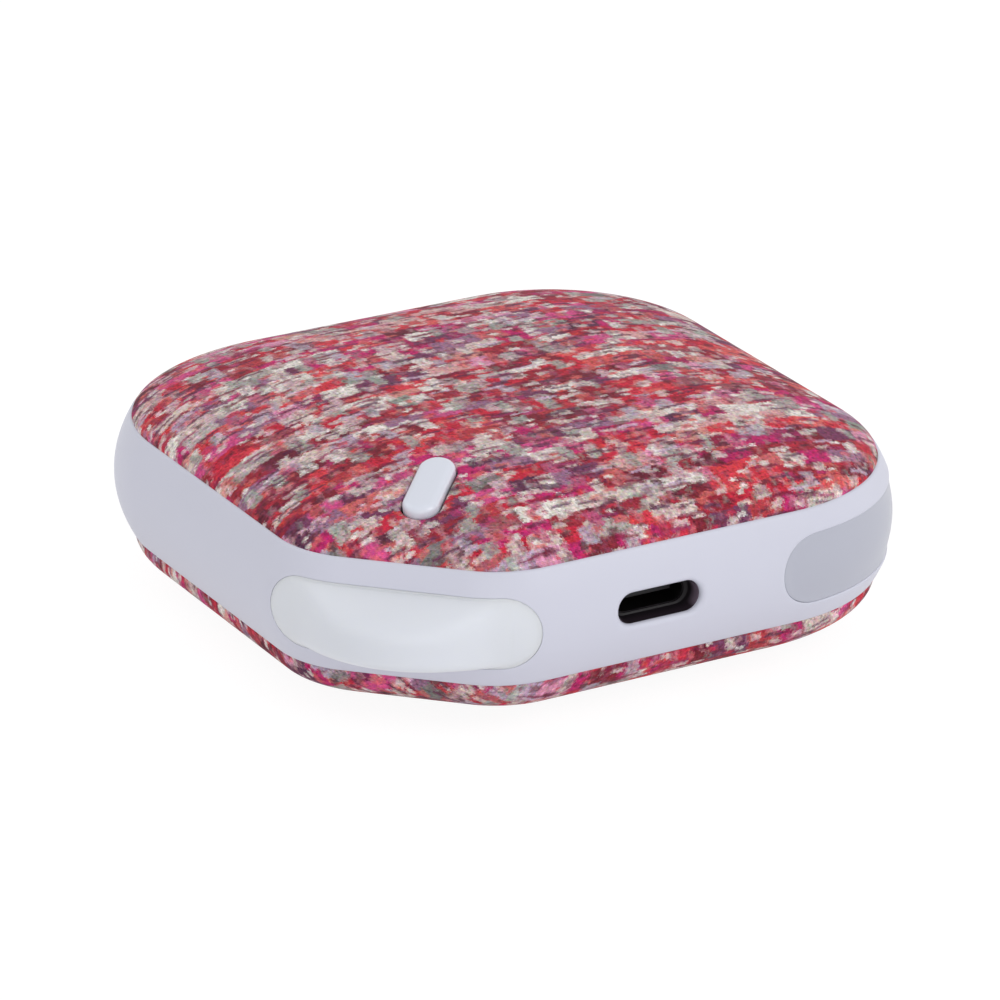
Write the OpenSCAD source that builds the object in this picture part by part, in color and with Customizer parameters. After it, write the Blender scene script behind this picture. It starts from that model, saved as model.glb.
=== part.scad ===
// Pocket hand warmer with a rechargeable cell: a rounded-square band between two fabric-covered
// domes. The corner at -X -Y is cut flat for a lamp, and the charging port is on the -Y side.
// Z = 0 is the surface it rests on. Units are millimetres.

/* [Body] */
// Width of the square outline where the band meets the covers
body_w = 70; // [68:0.5:76]
// Radius of the three full corners
corner_r = 19; // [17:0.5:21]
// Distance from the middle to the flat of the cut corner
cut_reach = 38.2; // [37.8:0.1:39]
// Radius of the two bends beside the cut corner
cut_r = 11; // [10:0.5:12.5]
// Height of the band, rim to rim
band_h = 12.9; // [12.7:0.1:14.5]
// How far the band swells beyond its rims
band_bulge = 1.9; // [1.2:0.1:2.4]
// Thickness of the band at its rims
band_wall = 2; // [1.8:0.1:2.4]

/* [Covers] */
// Height of each dome above its rim
crown_h = 6.4; // [6.2:0.1:7.5]
// Width of the curved border of each dome
crown_reach = 22.4; // [20:0.2:24]
// Fullness of the top dome's shoulder, 2 is an ellipse
top_fullness = 1.7; // [1.6:0.05:2]
// Fullness of the bottom dome's shoulder
bottom_fullness = 2.35; // [2.2:0.05:2.5]
// Thickness of the printed fabric with its foam backing
fabric_t = 0.7; // [0.5:0.05:0.9]
// Set-back of the fabric's edge from the band's rim
fabric_tuck = 0.15; // [0.05:0.05:0.3]
// Wall of the moulded covers
cover_t = 1.3; // [1.1:0.1:1.6]
// Depth of the skirt that plugs into the band
skirt_h = 1.8; // [1.2:0.1:1.9]
// Wall of the skirt
skirt_t = 1.3; // [1:0.1:1.6]
// Gap between the skirt and the band
skirt_gap = 0.2; // [0.15:0.05:0.4]

/* [Heating] */
// Thickness of the aluminium heat plates
plate_t = 0.8; // [0.6:0.1:1]
// Thickness of the film heaters
film_t = 0.3; // [0.2:0.05:0.4]
// Half width of the heat plates
plate_half = 26; // [24:0.5:27]
// How much smaller each film heater is than its plate, all round
film_margin = 1.5; // [1:0.25:2.5]
// Width of the foam pads between the heaters and the core
foam_w = 24; // [20:1:24]
// Width of the tail of each film heater
tail_w = 6; // [4:0.5:7]
// Diameter of the thermistor beads
bead_d = 2.4; // [2:0.1:3]
// Height of the thermistor beads
bead_h = 1.2; // [1:0.1:1.4]

/* [Cell and tray] */
// Width of the cell
cell_w = 50; // [46:0.5:51]
// Length of the cell
cell_l = 38; // [34:0.5:38.5]
// Thickness of the cell
cell_t = 10.6; // [9:0.1:10.8]
// Distance from the middle to the back edge of the cell
cell_back = 27; // [26.5:0.1:27.5]
// Slack between the cell and the tray walls
cell_slack = 0.3; // [0.2:0.05:0.5]
// Thickness of the tray's floor and walls
tray_t = 1.2; // [1:0.1:1.4]
// Height of the tray walls above its floor
tray_wall_h = 5.4; // [4:0.2:7]
// Height of the underside of the tray above the band's lower rim
tray_lift = 1; // [0.8:0.1:1.4]
// Gap between the tray and the skirt of the bottom cover
tray_gap = 0.4; // [0.3:0.05:0.6]
// Diameter of the screws
screw_d = 1.8; // [1.6:0.1:2]
// Diameter of the screw heads
head_d = 3.6; // [3.2:0.1:3.8]
// Height of the screw heads
head_h = 1; // [0.8:0.1:1.2]
// Length of the screw shanks below the head
screw_l = 4.2; // [3.8:0.2:4.4]
// Clearance of a screw in its hole, on the radius
screw_slack = 0.05; // [0.03:0.01:0.1]

/* [Charging port] */
// Width of the opening
port_w = 10; // [9.6:0.1:10.6]
// Height of the opening
port_h = 3.5; // [3.4:0.1:3.9]
// Sideways place of the opening
port_x = -1.7; // [-3:0.1:3]
// Height of the opening's middle above the middle of the band
port_rise = 0.25; // [-0.3:0.05:0.6]
// Rounding of the opening's mouth
port_lip = 0.5; // [0.3:0.1:0.8]
// Width of the receptacle's steel shell
usb_w = 8.94; // [8.94:0.02:9.1]
// Height of the receptacle's steel shell
usb_h = 3.16; // [3.16:0.02:3.3]
// Depth of the receptacle
usb_l = 7.4; // [6.8:0.1:8]
// Sheet thickness of the receptacle's shell
usb_sheet = 0.3; // [0.25:0.05:0.35]
// Setback of the receptacle's mouth from the band's rim line
usb_setback = 0.9; // [0.6:0.1:1.4]

/* [Boards] */
// Thickness of the circuit boards
board_t = 1; // [0.8:0.1:1.2]
// Left edge of the main board
board_left = -15; // [-15.5:0.1:-14]
// Width of the main board
board_w = 28; // [27:0.5:28.5]
// Length of the main board
board_l = 14.2; // [13.5:0.1:14.5]
// Gap between the main board's front edge and the band
board_gap = 0.8; // [0.6:0.1:1]

/* [Button] */
// Distance of the button's middle from the flat of the cut corner
button_inset = 9.8; // [9.2:0.1:10.5]
// Length of the button
button_l = 9.6; // [8.6:0.2:10.4]
// Width of the button
button_w = 4; // [3.6:0.1:4.4]
// Height of the button above the fabric
button_rise = 0.8; // [0.6:0.1:1]
// Travel of the button
button_travel = 0.4; // [0.3:0.05:0.4]
// Gap around the button
button_gap = 0.35; // [0.25:0.05:0.45]
// Clearance above the flange that keeps the button in
flange_gap = 0.8; // [0.7:0.05:1]
// Width of that flange beyond the button
button_flange = 0.9; // [0.7:0.1:1.1]
// Length of the button's stem below the flange
stem_l = 0.7; // [0.5:0.1:0.9]
// Diameter of the button's stem
stem_d = 2.6; // [2.2:0.1:3]
// Width of the switch
switch_w = 4.5; // [4.2:0.1:5]
// Height of the switch body
switch_h = 1.9; // [1.7:0.1:2.2]
// Diameter of the switch's plunger
plunger_d = 1.6; // [1.4:0.1:1.8]
// Height of the plunger above the switch body
plunger_rise = 0.6; // [0.5:0.05:0.8]
// Clearance of the plunger in the switch, on the radius
plunger_slack = 0.05; // [0.03:0.01:0.08]

/* [Lamp] */
// Length of the lamp lens
lens_l = 29.5; // [28:0.5:30]
// Height of the lamp lens
lens_h = 8; // [7.6:0.1:8.4]
// Gap around the lamp lens
lens_gap = 0.15; // [0.1:0.05:0.25]
// Thickness of the lens flange
lens_t = 1.1; // [0.9:0.1:1.3]
// Width of the flat flange around the swelling of the lens
lens_border = 1.35; // [1.2:0.05:1.6]
// Radius of the swelling of the lens, seen from above
swell_r = 12.6; // [12:0.1:13]
// Reach of the swelling beyond the cut corner's rim line
swell_reach = 7.3; // [6:0.1:7.5]
// Sideways place of the swelling along the cut corner
swell_shift = -0.6; // [-1:0.1:1]
// Rounding of the swelling's edge
swell_round = 1; // [0.6:0.1:1.4]
// Length of the lens's foot, which passes through the band
lens_foot_l = 15; // [14:0.5:15.5]
// Depth of the foot behind the band
lens_depth = 1; // [0.8:0.1:1.4]
// Number of lamp diodes
lamp_count = 3; // [2:1:4]
// Distance between lamp diodes
lamp_pitch = 5; // [4:0.5:5.5]

/* [Level window] */
// Length of the pill-shaped recess on the corner, straight across
window_l = 33; // [31:0.5:33.5]
// Height of the recess
window_h = 8; // [7.6:0.1:8.4]
// Depth of the recess below the band's surface
window_depth = 0.35; // [0.25:0.05:0.5]
// Thickness of the window in the recess
window_t = 0.9; // [0.7:0.1:1]
// Gap around the window
window_gap = 0.05; // [0.03:0.01:0.1]
// Number of level diodes
level_count = 4; // [3:1:5]
// Distance between level diodes
level_pitch = 4.4; // [4:0.1:5]
// Distance of the level board behind the corner of the band's rim line
level_setback = 8.1; // [8:0.1:8.6]
// Diameter of the light guides
guide_d = 2; // [1.6:0.1:2.4]
// Gap around the light guides in their slot
guide_gap = 0.5; // [0.3:0.1:0.7]
// Gap between the light guides and the window, and over the diodes
guide_air = 0.2; // [0.1:0.05:0.3]

/* [Hidden] */
$fn = 96;

// Heights and plan centres
half = body_w/2;
low_z = crown_h;
high_z = crown_h + band_h;
top_z = 2*crown_h + band_h;
mid_z = crown_h + band_h/2;
corner_k = half - corner_r;
cut_k = half - cut_r;
cut_m = sqrt(2)*(cut_reach - cut_r) - cut_k;
cut_flat = sqrt(2)*(cut_k - cut_m);
corner_reach = sqrt(2)*corner_k + corner_r;
bulge_steps = 10;
shoulder_steps = 9;
corner_steps = 8;
cut_steps = 4;
sink = 0.2;
far = 2*body_w;

// Seats of the core
tray_z = low_z + tray_lift;
floor_z = tray_z + tray_t;
cell_z = floor_z + cell_slack;
cell_top = cell_z + cell_t;
port_z = mid_z + port_rise;
board_top = port_z - usb_h/2;
board_z = board_top - board_t;
board_front = -half + band_wall + board_gap;
cell_front = cell_back - cell_l;
lug_y = [-9, 17];
lug_w = 6;
lug_x = half - band_wall - lug_w/2 + 0.2;
lug_h = 5;
lug_hole_r = screw_d/2 + screw_slack;
skirt_in = band_wall + skirt_gap;
tray_edge = half - skirt_in - skirt_t - tray_gap;
post_d = 4;
board_posts = [[board_left + 2.4, board_front + board_l - 2.4],
    [board_left + board_w - 2.4, board_front + board_l - 2.4]];
board_rest_y = board_front + 2.2;

// Outline of the rims as points, for the lofted domes
function arc(c, r, from, sweep, n) =
    [for (i = [0:n]) [c[0] + r*cos(from + sweep*i/n), c[1] + r*sin(from + sweep*i/n)]];
rim = concat(
    arc([corner_k, -corner_k], corner_r, -90, 90, corner_steps),
    arc([corner_k, corner_k], corner_r, 0, 90, corner_steps),
    arc([-corner_k, corner_k], corner_r, 90, 90, corner_steps),
    arc([-cut_k, -cut_m], cut_r, 180, 45, cut_steps),
    arc([-cut_m, -cut_k], cut_r, 225, 45, cut_steps));

// Shoulder of a dome: width taken in and height, at step i of n
function shoulder_in(i, n, m) = 1 - pow(cos(90*i/n), 2/m);
function shoulder_up(i, n, m) = pow(sin(90*i/n), 2/m);
function shoulder_inv(u, m) = pow(1 - pow(1 - u, m), 1/m);
// Rings of a dome surface that is set in by d from the rims and ends t below the crown
function dome(d, t, m, n, first = 0) =
    [for (i = [first:n]) [1 - (d + (crown_reach - d)*shoulder_in(i, n, m))/half,
        (crown_h - t)*shoulder_up(i, n, m)]];
// Height of a dome surface at a plan distance from the rim line
function dome_height(inset, t, m) = (crown_h - t)*shoulder_inv(inset/crown_reach, m);
function reversed(list) = [for (i = [len(list) - 1:-1:0]) list[i]];

// A solid whose skin runs through a chain of scaled rims, closed by a flat cap at each end
module loft(rings) {
    n = len(rim);
    last = len(rings) - 1;
    polyhedron(
        points = [for (r = rings) for (p = rim) [p[0]*r[0], p[1]*r[0], r[1]]],
        faces = concat(
            [[for (j = [n - 1:-1:0]) j], [for (j = [0:n - 1]) last*n + j]],
            [for (k = [0:last - 1]) for (j = [0:n - 1])
                [k*n + j, k*n + (j + 1) % n, (k + 1)*n + (j + 1) % n]],
            [for (k = [0:last - 1]) for (j = [0:n - 1])
                [k*n + j, (k + 1)*n + (j + 1) % n, (k + 1)*n + j]]));
}

// Places a dome piece on the band: the top as it is, the bottom turned over
module on_top() {
    translate([0, 0, high_z]) children();
}
module on_bottom() {
    translate([0, 0, low_z]) mirror([0, 0, 1]) children();
}

// Sweeps a profile, drawn as distance out from the rim and height, all round the outline
module straight(start, turn, length) {
    translate([start[0], start[1], 0]) rotate([0, 0, turn]) rotate([90, 0, 0])
        linear_extrude(height = length) children();
}
module bend(centre, radius, from, sweep) {
    translate([centre[0], centre[1], 0]) rotate([0, 0, from])
        rotate_extrude(angle = sweep) translate([radius, 0]) children();
}
module full_corner(from) {
    bend([corner_k*sign(cos(from + 45)), corner_k*sign(sin(from + 45))], corner_r, from, 90)
        children();
}
module cut_corner() {
    bend([-cut_k, -cut_m], cut_r, 180, 45) children();
    mirror([1, -1, 0]) bend([-cut_k, -cut_m], cut_r, 180, 45) children();
    straight([-cut_m - cut_r*cos(45), -cut_k - cut_r*sin(45)], 225, cut_flat) children();
}
module all_round() {
    full_corner(-90) children();
    full_corner(0) children();
    full_corner(90) children();
    cut_corner() children();
    straight([half, corner_k], 0, 2*corner_k) children();
    straight([-corner_k, half], 90, 2*corner_k) children();
    straight([-half, -cut_m], 180, corner_k + cut_m) children();
    straight([corner_k, -half], 270, corner_k + cut_m) children();
}

// Section of the band between two depths below its swollen face
function swell(i) = band_bulge*(1 - pow(2*i/bulge_steps - 1, 2));
module band_layer(outer, inner) {
    polygon(concat(
        [for (i = [0:bulge_steps]) [swell(i) - outer, low_z + band_h*i/bulge_steps]],
        [for (i = [bulge_steps:-1:0]) [swell(i) - inner, low_z + band_h*i/bulge_steps]]));
}
module band_section() {
    polygon(concat([for (i = [0:bulge_steps]) [swell(i), low_z + band_h*i/bulge_steps]],
        [[-band_wall, high_z], [-band_wall, low_z]]));
}

// Plan of the rims, drawn k times its size as the domes' rings are
module plan(k) {
    for (c = [[corner_k, -corner_k], [corner_k, corner_k], [-corner_k, corner_k]])
        translate(c*k) circle(r = corner_r*k);
    for (c = [[-cut_k, -cut_m], [-cut_m, -cut_k]]) translate(c*k) circle(r = cut_r*k);
    bevel = cut_r*cos(45);
    polygon(k*[[corner_k, -half], [half, -corner_k], [half, corner_k],
        [corner_k, half], [-corner_k, half], [-half, corner_k],
        [-half, -cut_m], [-cut_k - bevel, -cut_m - bevel],
        [-cut_m - bevel, -cut_k - bevel], [-cut_m, -half]]);
}

module pill(length, height) {
    square([length - height, height], center = true);
    for (side = [-1, 1]) translate([side*(length - height)/2, 0]) circle(r = height/2, $fn = 64);
}

// Frame of a corner: x runs along the corner, y up, z straight out of the corner
module lamp_frame(out) {
    translate([0, 0, mid_z]) rotate([0, 0, -45]) rotate([90, 0, 0]) translate([0, 0, out])
        children();
}
module level_frame(out) {
    translate([0, 0, mid_z]) rotate([0, 0, 45]) rotate([90, 0, 0]) translate([0, 0, out])
        children();
}

// Frame of the button: x along its length towards the cut corner, z out of the top dome
button_reach = cut_reach - button_inset;
button_plan_in = half*button_inset/cut_reach;
button_z = high_z + dome_height(button_plan_in, 0, top_fullness);
button_near = dome_height(half*(button_inset - 5)/cut_reach, 0, top_fullness);
button_far = dome_height(half*(button_inset + 5)/cut_reach, 0, top_fullness);
button_tilt = atan2(button_far - button_near, 10);
module button_frame(depth) {
    translate([-button_reach*cos(45), -button_reach*sin(45), button_z])
        rotate([0, 0, 225]) rotate([0, button_tilt, 0]) translate([0, 0, -depth]) children();
}
flange_depth = fabric_t + cover_t + flange_gap;
flange_t = 1;
stem_end = flange_depth + flange_t + stem_l;
switch_top = stem_end + plunger_rise;
switch_base = switch_top + switch_h;
switch_board_base = switch_base + board_t;
switch_board_l = 7;
switch_board_w = 6.6;

module mid_band() {
    color("gainsboro") {
        difference() {
            all_round() band_section();
            port_cut();
            lens_pocket();
            window_pocket();
            guide_slot();
        }
        for (side = [-1, 1]) for (y = lug_y) band_lug(side, y);
    }
}

// Lugs on the inside of the band, with a pilot hole for a tray screw
module band_lug(side, y) {
    difference() {
        translate([side*lug_x - lug_w/2, y - lug_w/2, floor_z]) cube([lug_w, lug_w, lug_h]);
        translate([side*screw_x, y, floor_z - 1]) cylinder(r = lug_hole_r, h = lug_h);
    }
}
screw_x = lug_x - 1.2;

module port_cut() {
    translate([port_x, -half, port_z]) rotate([90, 0, 0]) {
        translate([0, 0, -2*band_wall]) linear_extrude(height = 4*band_wall)
            pill(port_w, port_h);
        for (side = [-1, 1]) translate([side*(port_w - port_h)/2, 0, 0])
            rotate_extrude() mouth_section();
        translate([-(port_w - port_h)/2, 0, 0]) rotate([90, 0, 90])
            linear_extrude(height = port_w - port_h) {
                mouth_section();
                mirror([1, 0]) mouth_section();
            }
    }
}
// Rounded lip of the opening, drawn from its middle line outwards
module mouth_section() {
    polygon(concat([[0, band_bulge - port_lip]],
        [for (a = [0:15:90]) [port_h/2 + port_lip*(1 - cos(a)),
            band_bulge - port_lip*(1 - sin(a))]],
        [[port_h/2 + port_lip, band_bulge + 1], [0, band_bulge + 1]]));
}

module lens_pocket() {
    intersection() {
        cut_corner_wide() band_layer(-1, lens_t + lens_gap);
        lamp_frame(0) linear_extrude(height = far) pill(lens_l, lens_h);
    }
    lamp_frame(cut_reach - 3*band_wall) linear_extrude(height = 6*band_wall)
        pill(lens_foot_l + 2*lens_gap, lens_foot_h + 2*lens_gap);
}
lens_foot_h = lens_h - 2*lens_border;

// The cut corner with enough of the two sides beside it to hold the lens
module cut_corner_wide() {
    cut_corner() children();
    straight([-half, -cut_m], 180, side_run) children();
    straight([-cut_m + side_run, -half], 270, side_run) children();
}
side_run = 4;

module window_pocket() {
    intersection() {
        window_corner() band_layer(-1, window_depth + window_t);
        level_frame(0) linear_extrude(height = far) pill(window_l, window_h);
    }
}
module window_corner() {
    full_corner(-90) children();
    straight([corner_k, -half], 270, side_run) children();
    straight([half, -corner_k + side_run], 0, side_run) children();
}
function level_x(i) = (i - (level_count - 1)/2)*level_pitch;
guide_row = (level_count - 1)*level_pitch + guide_d;
// Slot through the band behind the window, for the light guides
module guide_slot() {
    level_frame(corner_reach - 4*band_wall) linear_extrude(height = 5*band_wall)
        pill(guide_row + 2*guide_gap, guide_d + 2*guide_gap);
}

// Moulded covers: the dome, the ledge on the band's rim and the skirt inside the band
module cover(fullness) {
    loft(concat(
        reversed(dome(fabric_tuck + fabric_t, fabric_t, fullness, shoulder_steps)),
        [[1 - skirt_in/half, 0], [1 - skirt_in/half, -skirt_h],
            [1 - (skirt_in + skirt_t)/half, -skirt_h]],
        [for (r = dome(skirt_in + skirt_t, fabric_t + cover_t, fullness, shoulder_steps)) r]));
}
module top_cover() {
    color("whitesmoke") difference() {
        on_top() cover(top_fullness);
        button_frame(2*flange_depth) linear_extrude(height = 3*flange_depth)
            pill(button_l + 2*button_gap, button_w + 2*button_gap);
    }
}
module bottom_cover() {
    color("whitesmoke") on_bottom() cover(bottom_fullness);
}

// Printed fabric on a thin foam backing, bonded over each cover
module fabric(fullness) {
    loft(concat(
        reversed(dome(fabric_tuck, 0, fullness, shoulder_steps)),
        dome(fabric_tuck + fabric_t, fabric_t, fullness, shoulder_steps)));
}
module top_fabric() {
    color("crimson") difference() {
        on_top() fabric(top_fullness);
        button_frame(flange_depth) linear_extrude(height = 2*flange_depth)
            pill(button_l + 2*button_gap, button_w + 2*button_gap);
    }
}
module bottom_fabric() {
    color("crimson") on_bottom() fabric(bottom_fullness);
}

// Domed sheets that lie under the covers, cut to a rounded square
module dome_sheet(outer_t, inner_t, fullness, half_w) {
    edge = skirt_in + skirt_t;
    intersection() {
        loft(concat(reversed(dome(edge, outer_t, fullness, shoulder_steps)),
            dome(edge, inner_t, fullness, shoulder_steps)));
        linear_extrude(height = 2*crown_h) offset_square(half_w, corner_r/2);
    }
}
module offset_square(half_w, r) {
    square([2*half_w, 2*(half_w - r)], center = true);
    square([2*(half_w - r), 2*half_w], center = true);
    for (sx = [-1, 1]) for (sy = [-1, 1])
        translate([sx*(half_w - r), sy*(half_w - r)]) circle(r = r);
}

plate_outer = fabric_t + cover_t;
film_outer = plate_outer + plate_t;
foam_outer = film_outer + film_t;
module top_heat_plate() {
    color("silver") difference() {
        on_top() dome_sheet(plate_outer, film_outer, top_fullness, plate_half);
        switch_window();
    }
}
module bottom_heat_plate() {
    color("silver") on_bottom()
        dome_sheet(plate_outer, film_outer, bottom_fullness, plate_half);
}
// Corner that the top plate and film leave free for the button
module switch_window() {
    translate([0, 0, low_z]) rotate([0, 0, 225]) translate([button_clear, -far/2, 0])
        cube([far, far, far]);
}
button_clear = button_reach - button_l/2 - button_flange - 1;

tail_x = 9;
tail_y = -(foam_w/2 + 2);
module top_heater_film() {
    color("orange") {
        difference() {
            on_top() dome_sheet(film_outer, foam_outer, top_fullness, plate_half - film_margin);
            switch_window();
        }
    }
}
module bottom_heater_film() {
    color("orange") on_bottom()
        dome_sheet(film_outer, foam_outer, bottom_fullness, plate_half - film_margin);
}

// Foam pads that press the heaters outwards, with a hole for the thermistor bead
module foam_pad(height) {
    linear_extrude(height = height) difference() {
        offset_square(foam_w/2, 3);
        circle(d = bead_d + 1);
    }
}
foam_gap = 0.05;
top_foam_z = cell_top + foam_gap;
top_foam_h = top_z - foam_outer - foam_gap - top_foam_z;
bottom_foam_z = foam_outer + foam_gap;
bottom_foam_h = tray_z - foam_gap - bottom_foam_z;
module top_foam_pad() {
    color("dimgray") translate([0, 0, top_foam_z]) foam_pad(top_foam_h);
}
module bottom_foam_pad() {
    color("dimgray") translate([0, 0, bottom_foam_z]) foam_pad(bottom_foam_h);
}
module thermistors() {
    color("saddlebrown") {
        translate([0, 0, top_z - foam_outer - bead_h]) cylinder(d = bead_d, h = bead_h);
        translate([0, 0, foam_outer]) cylinder(d = bead_d, h = bead_h);
    }
}

module inner_tray() {
    color("lightgray") difference() {
        union() {
            translate([0, 0, tray_z]) linear_extrude(height = tray_t)
                plan(tray_edge/half);
            tray_walls();
            for (p = board_posts) translate([p[0], p[1], tray_z])
                cylinder(d = post_d, h = board_z - tray_z);
            translate([board_left + 4, board_rest_y - 1, tray_z])
                cube([board_w - 8, 2, board_z - tray_z]);
            switch_post();
            lamp_frame(lamp_board_out) board_slots(lamp_board_w, lamp_board_h);
            level_frame(level_board_out) board_slots(level_board_w, level_board_h);
        }
        for (side = [-1, 1]) for (y = lug_y) translate([side*screw_x, y, tray_z - 1])
            cylinder(r = screw_d/2 + 0.2, h = 3*tray_t);
        for (p = board_posts) translate([p[0], p[1], tray_z + tray_t])
            cylinder(r = screw_d/2 + screw_slack, h = board_z);
    }
}
module tray_walls() {
    outer = [cell_w + 2*cell_slack + 2*tray_t, cell_l + 2*cell_slack + 2*tray_t];
    inner = [cell_w + 2*cell_slack, cell_l + 2*cell_slack];
    translate([0, cell_back - cell_l/2, tray_z])
        linear_extrude(height = tray_t + tray_wall_h) difference() {
            square(outer, center = true);
            square(inner, center = true);
            translate([0, -cell_l/2]) square([cell_w - 12, 4*tray_t], center = true);
        }
}
// Post that carries the switch board, cut square to the button's axis
module switch_post() {
    difference() {
        translate([-button_reach*cos(45), -button_reach*sin(45), tray_z]) rotate([0, 0, 225])
            translate([-3.5, -2, 0]) cube([6, 4, top_z]);
        button_frame(switch_board_base) translate([-far/2, -far/2, 0]) cube([far, far, far]);
    }
}
lamp_board_w = 18;
lamp_board_h = 7;
lamp_face = cut_reach - band_wall - lens_depth - 0.2;
slot_w = 2.4;
// Behind the lens, or as far out as the side walls leave room for the slots
lamp_board_out = min(lamp_face - 0.8 - board_t,
    sqrt(2)*(half - band_wall) - (lamp_board_w + slot_w)/2 - tray_t - board_t - 0.6);
level_board_w = 18;
level_board_h = 7;
level_board_out = corner_reach - level_setback;
// The slots reach out past the tray's edge just above the skirt of the bottom cover
slot_z = low_z + skirt_h + 0.15;
// Two upright slots hold a board by its ends, in the frame of its corner
module board_slots(width, height) {
    for (side = [0, 1]) mirror([side, 0, 0]) difference() {
        translate([(width - slot_w)/2, slot_z - mid_z, -tray_t])
            cube([slot_w, mid_z - slot_z + height/2, board_t + 2*tray_t]);
        translate([width/2 - slot_w, floor_z - mid_z, 0])
            cube([slot_w + 0.1, far, board_t]);
    }
}
module standing_board(width, height) {
    translate([-width/2, floor_z - mid_z, 0])
        cube([width, mid_z - floor_z + height/2, board_t]);
}

module screw(length) {
    translate([0, 0, -head_h]) difference() {
        cylinder(d = head_d, h = head_h);
        translate([0, 0, -1]) cylinder(d = head_d/2.6, h = 1 + head_h/2, $fn = 6);
    }
    cylinder(d = screw_d, h = length);
}
module tray_screws() {
    color("silver") for (side = [-1, 1]) for (y = lug_y) translate([side*screw_x, y, tray_z])
        screw(screw_l);
}

module battery_cell() {
    r = 2;
    color("lightsteelblue") translate([0, cell_back - cell_l/2, cell_z]) difference() {
        linear_extrude(height = cell_t) {
            square([cell_w, cell_l - 2*r], center = true);
            square([cell_w - 2*r, cell_l], center = true);
            for (sx = [-1, 1]) for (sy = [-1, 1])
                translate([sx*(cell_w/2 - r), sy*(cell_l/2 - r)]) circle(r = r);
        }
        translate([-cell_w/2 + 5, -cell_l/2 - 1, cell_t/2]) cube([cell_w - 10, 1.6, cell_t]);
    }
}
guard_w = 30;
guard_h = 6;
guard_y = cell_front - board_t;
module protection_board() {
    color("darkgreen") {
        translate([-guard_w/2, guard_y, cell_z + 0.6]) cube([guard_w, board_t, guard_h]);
        for (x = [-9, -4, 5]) translate([x, guard_y - 0.8, cell_z + 1.4]) cube([3, 0.8, 1.8]);
    }
}

lead_d = 1.1;
lead_x = [board_left + 7.6, board_left + 9.2];
lead_z = board_top + 1.6;
socket_l = 3.6;
socket_y = board_front + board_l - 4.6;
module battery_leads() {
    color("firebrick") for (x = lead_x)
        translate([x, socket_y + socket_l, lead_z]) rotate([-90, 0, 0])
            cylinder(d = lead_d, h = guard_y - socket_y - socket_l);
}
module battery_socket() {
    color("ivory") translate([lead_x[0] - 1.7, socket_y, board_top])
        cube([lead_x[1] - lead_x[0] + 3.4, socket_l, 2.8]);
}
module heater_sockets() {
    color("ivory") for (x = [12.4, 17.2]) translate([board_left + x, socket_y, board_top])
        difference() {
            cube([4, socket_l, 2.4]);
            translate([0.6, 0.6, 1]) cube([2.8, socket_l - 1.2, 3]);
        }
}

module main_board() {
    color("darkgreen") difference() {
        translate([board_left, board_front, board_z]) cube([board_w, board_l, board_t]);
        for (p = board_posts) translate([p[0], p[1], board_z - 1])
            cylinder(r = screw_d/2 + 0.15, h = 2*board_t + 1);
    }
}
module board_screws() {
    color("silver") for (p = board_posts) translate([p[0], p[1], board_top])
        mirror([0, 0, 1]) screw(board_t + board_screw_bite);
}
board_screw_bite = board_z - tray_z - tray_t - 0.3;

module usb_section(inset) {
    pill(usb_w - 2*inset, usb_h - 2*inset);
}
usb_front = -half + usb_setback;
module usb_shell() {
    color("silver") translate([port_x, usb_front + usb_l, port_z]) rotate([90, 0, 0])
        difference() {
            linear_extrude(height = usb_l) usb_section(0);
            translate([0, 0, usb_sheet]) linear_extrude(height = usb_l) usb_section(usb_sheet);
        }
}
module usb_tongue() {
    back_l = 2;
    color("black") {
        translate([port_x, usb_front + usb_l - usb_sheet, port_z]) rotate([90, 0, 0])
            linear_extrude(height = back_l) usb_section(usb_sheet);
        translate([port_x - 3.35, usb_front + 1.2, port_z - 0.35])
            cube([6.7, usb_l - usb_sheet - back_l - 1.1, 0.7]);
    }
}

module chip(place, size) {
    translate([place[0], place[1], board_top]) linear_extrude(height = size[2]) difference() {
        square([size[0], size[1]], center = true);
        translate([-size[0]/2, -size[1]/2]) rotate([0, 0, 45]) square(0.8, center = true);
    }
}
module control_chips() {
    color("black") {
        chip([board_left + 21, board_front + 4.2], [4, 4, 0.9]);
        chip([board_left + 25.6, board_front + 4.2], [3, 3, 0.8]);
        chip([board_left + 23.5, board_front + 8.2], [3, 2.4, 1]);
    }
}
module power_inductor() {
    color("dimgray") translate([board_left + 4.6, board_front + 4, board_top]) {
        linear_extrude(height = 2.6) offset_square(2.6, 0.8);
        translate([0, 0, 2.6]) cylinder(d = 3.8, h = 0.3);
    }
}
module capacitors() {
    color("tan") for (x = [9, 11.4, 13.8, 16.2])
        translate([board_left + x, board_front + 7, board_top]) cube([1, 1.8, 0.9]);
}

// The button, its switch and the board they sit on share the button's axis
module power_button() {
    color("lightblue") {
        button_frame(flange_depth + 0.01) linear_extrude(height = flange_depth + 0.36)
            pill(button_l, button_w);
        button_frame(0) hull() {
            translate([0, 0, 0.3]) linear_extrude(height = 0.05) pill(button_l, button_w);
            translate([0, 0, button_rise - 0.15]) linear_extrude(height = 0.01)
                pill(button_l - 0.4, button_w - 0.4);
            translate([0, 0, button_rise - 0.01]) linear_extrude(height = 0.01)
                pill(button_l - 1, button_w - 1);
        }
        button_frame(flange_depth + flange_t) linear_extrude(height = flange_t)
            pill(button_l + 2*button_flange, button_w + 2*button_flange);
        button_frame(stem_end) cylinder(d = stem_d, h = stem_l + 0.1);
    }
}
plunger_sunk = 0.8;
module switch_plunger() {
    color("black") button_frame(switch_top + plunger_sunk)
        cylinder(d = plunger_d, h = plunger_rise + plunger_sunk);
}
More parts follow.
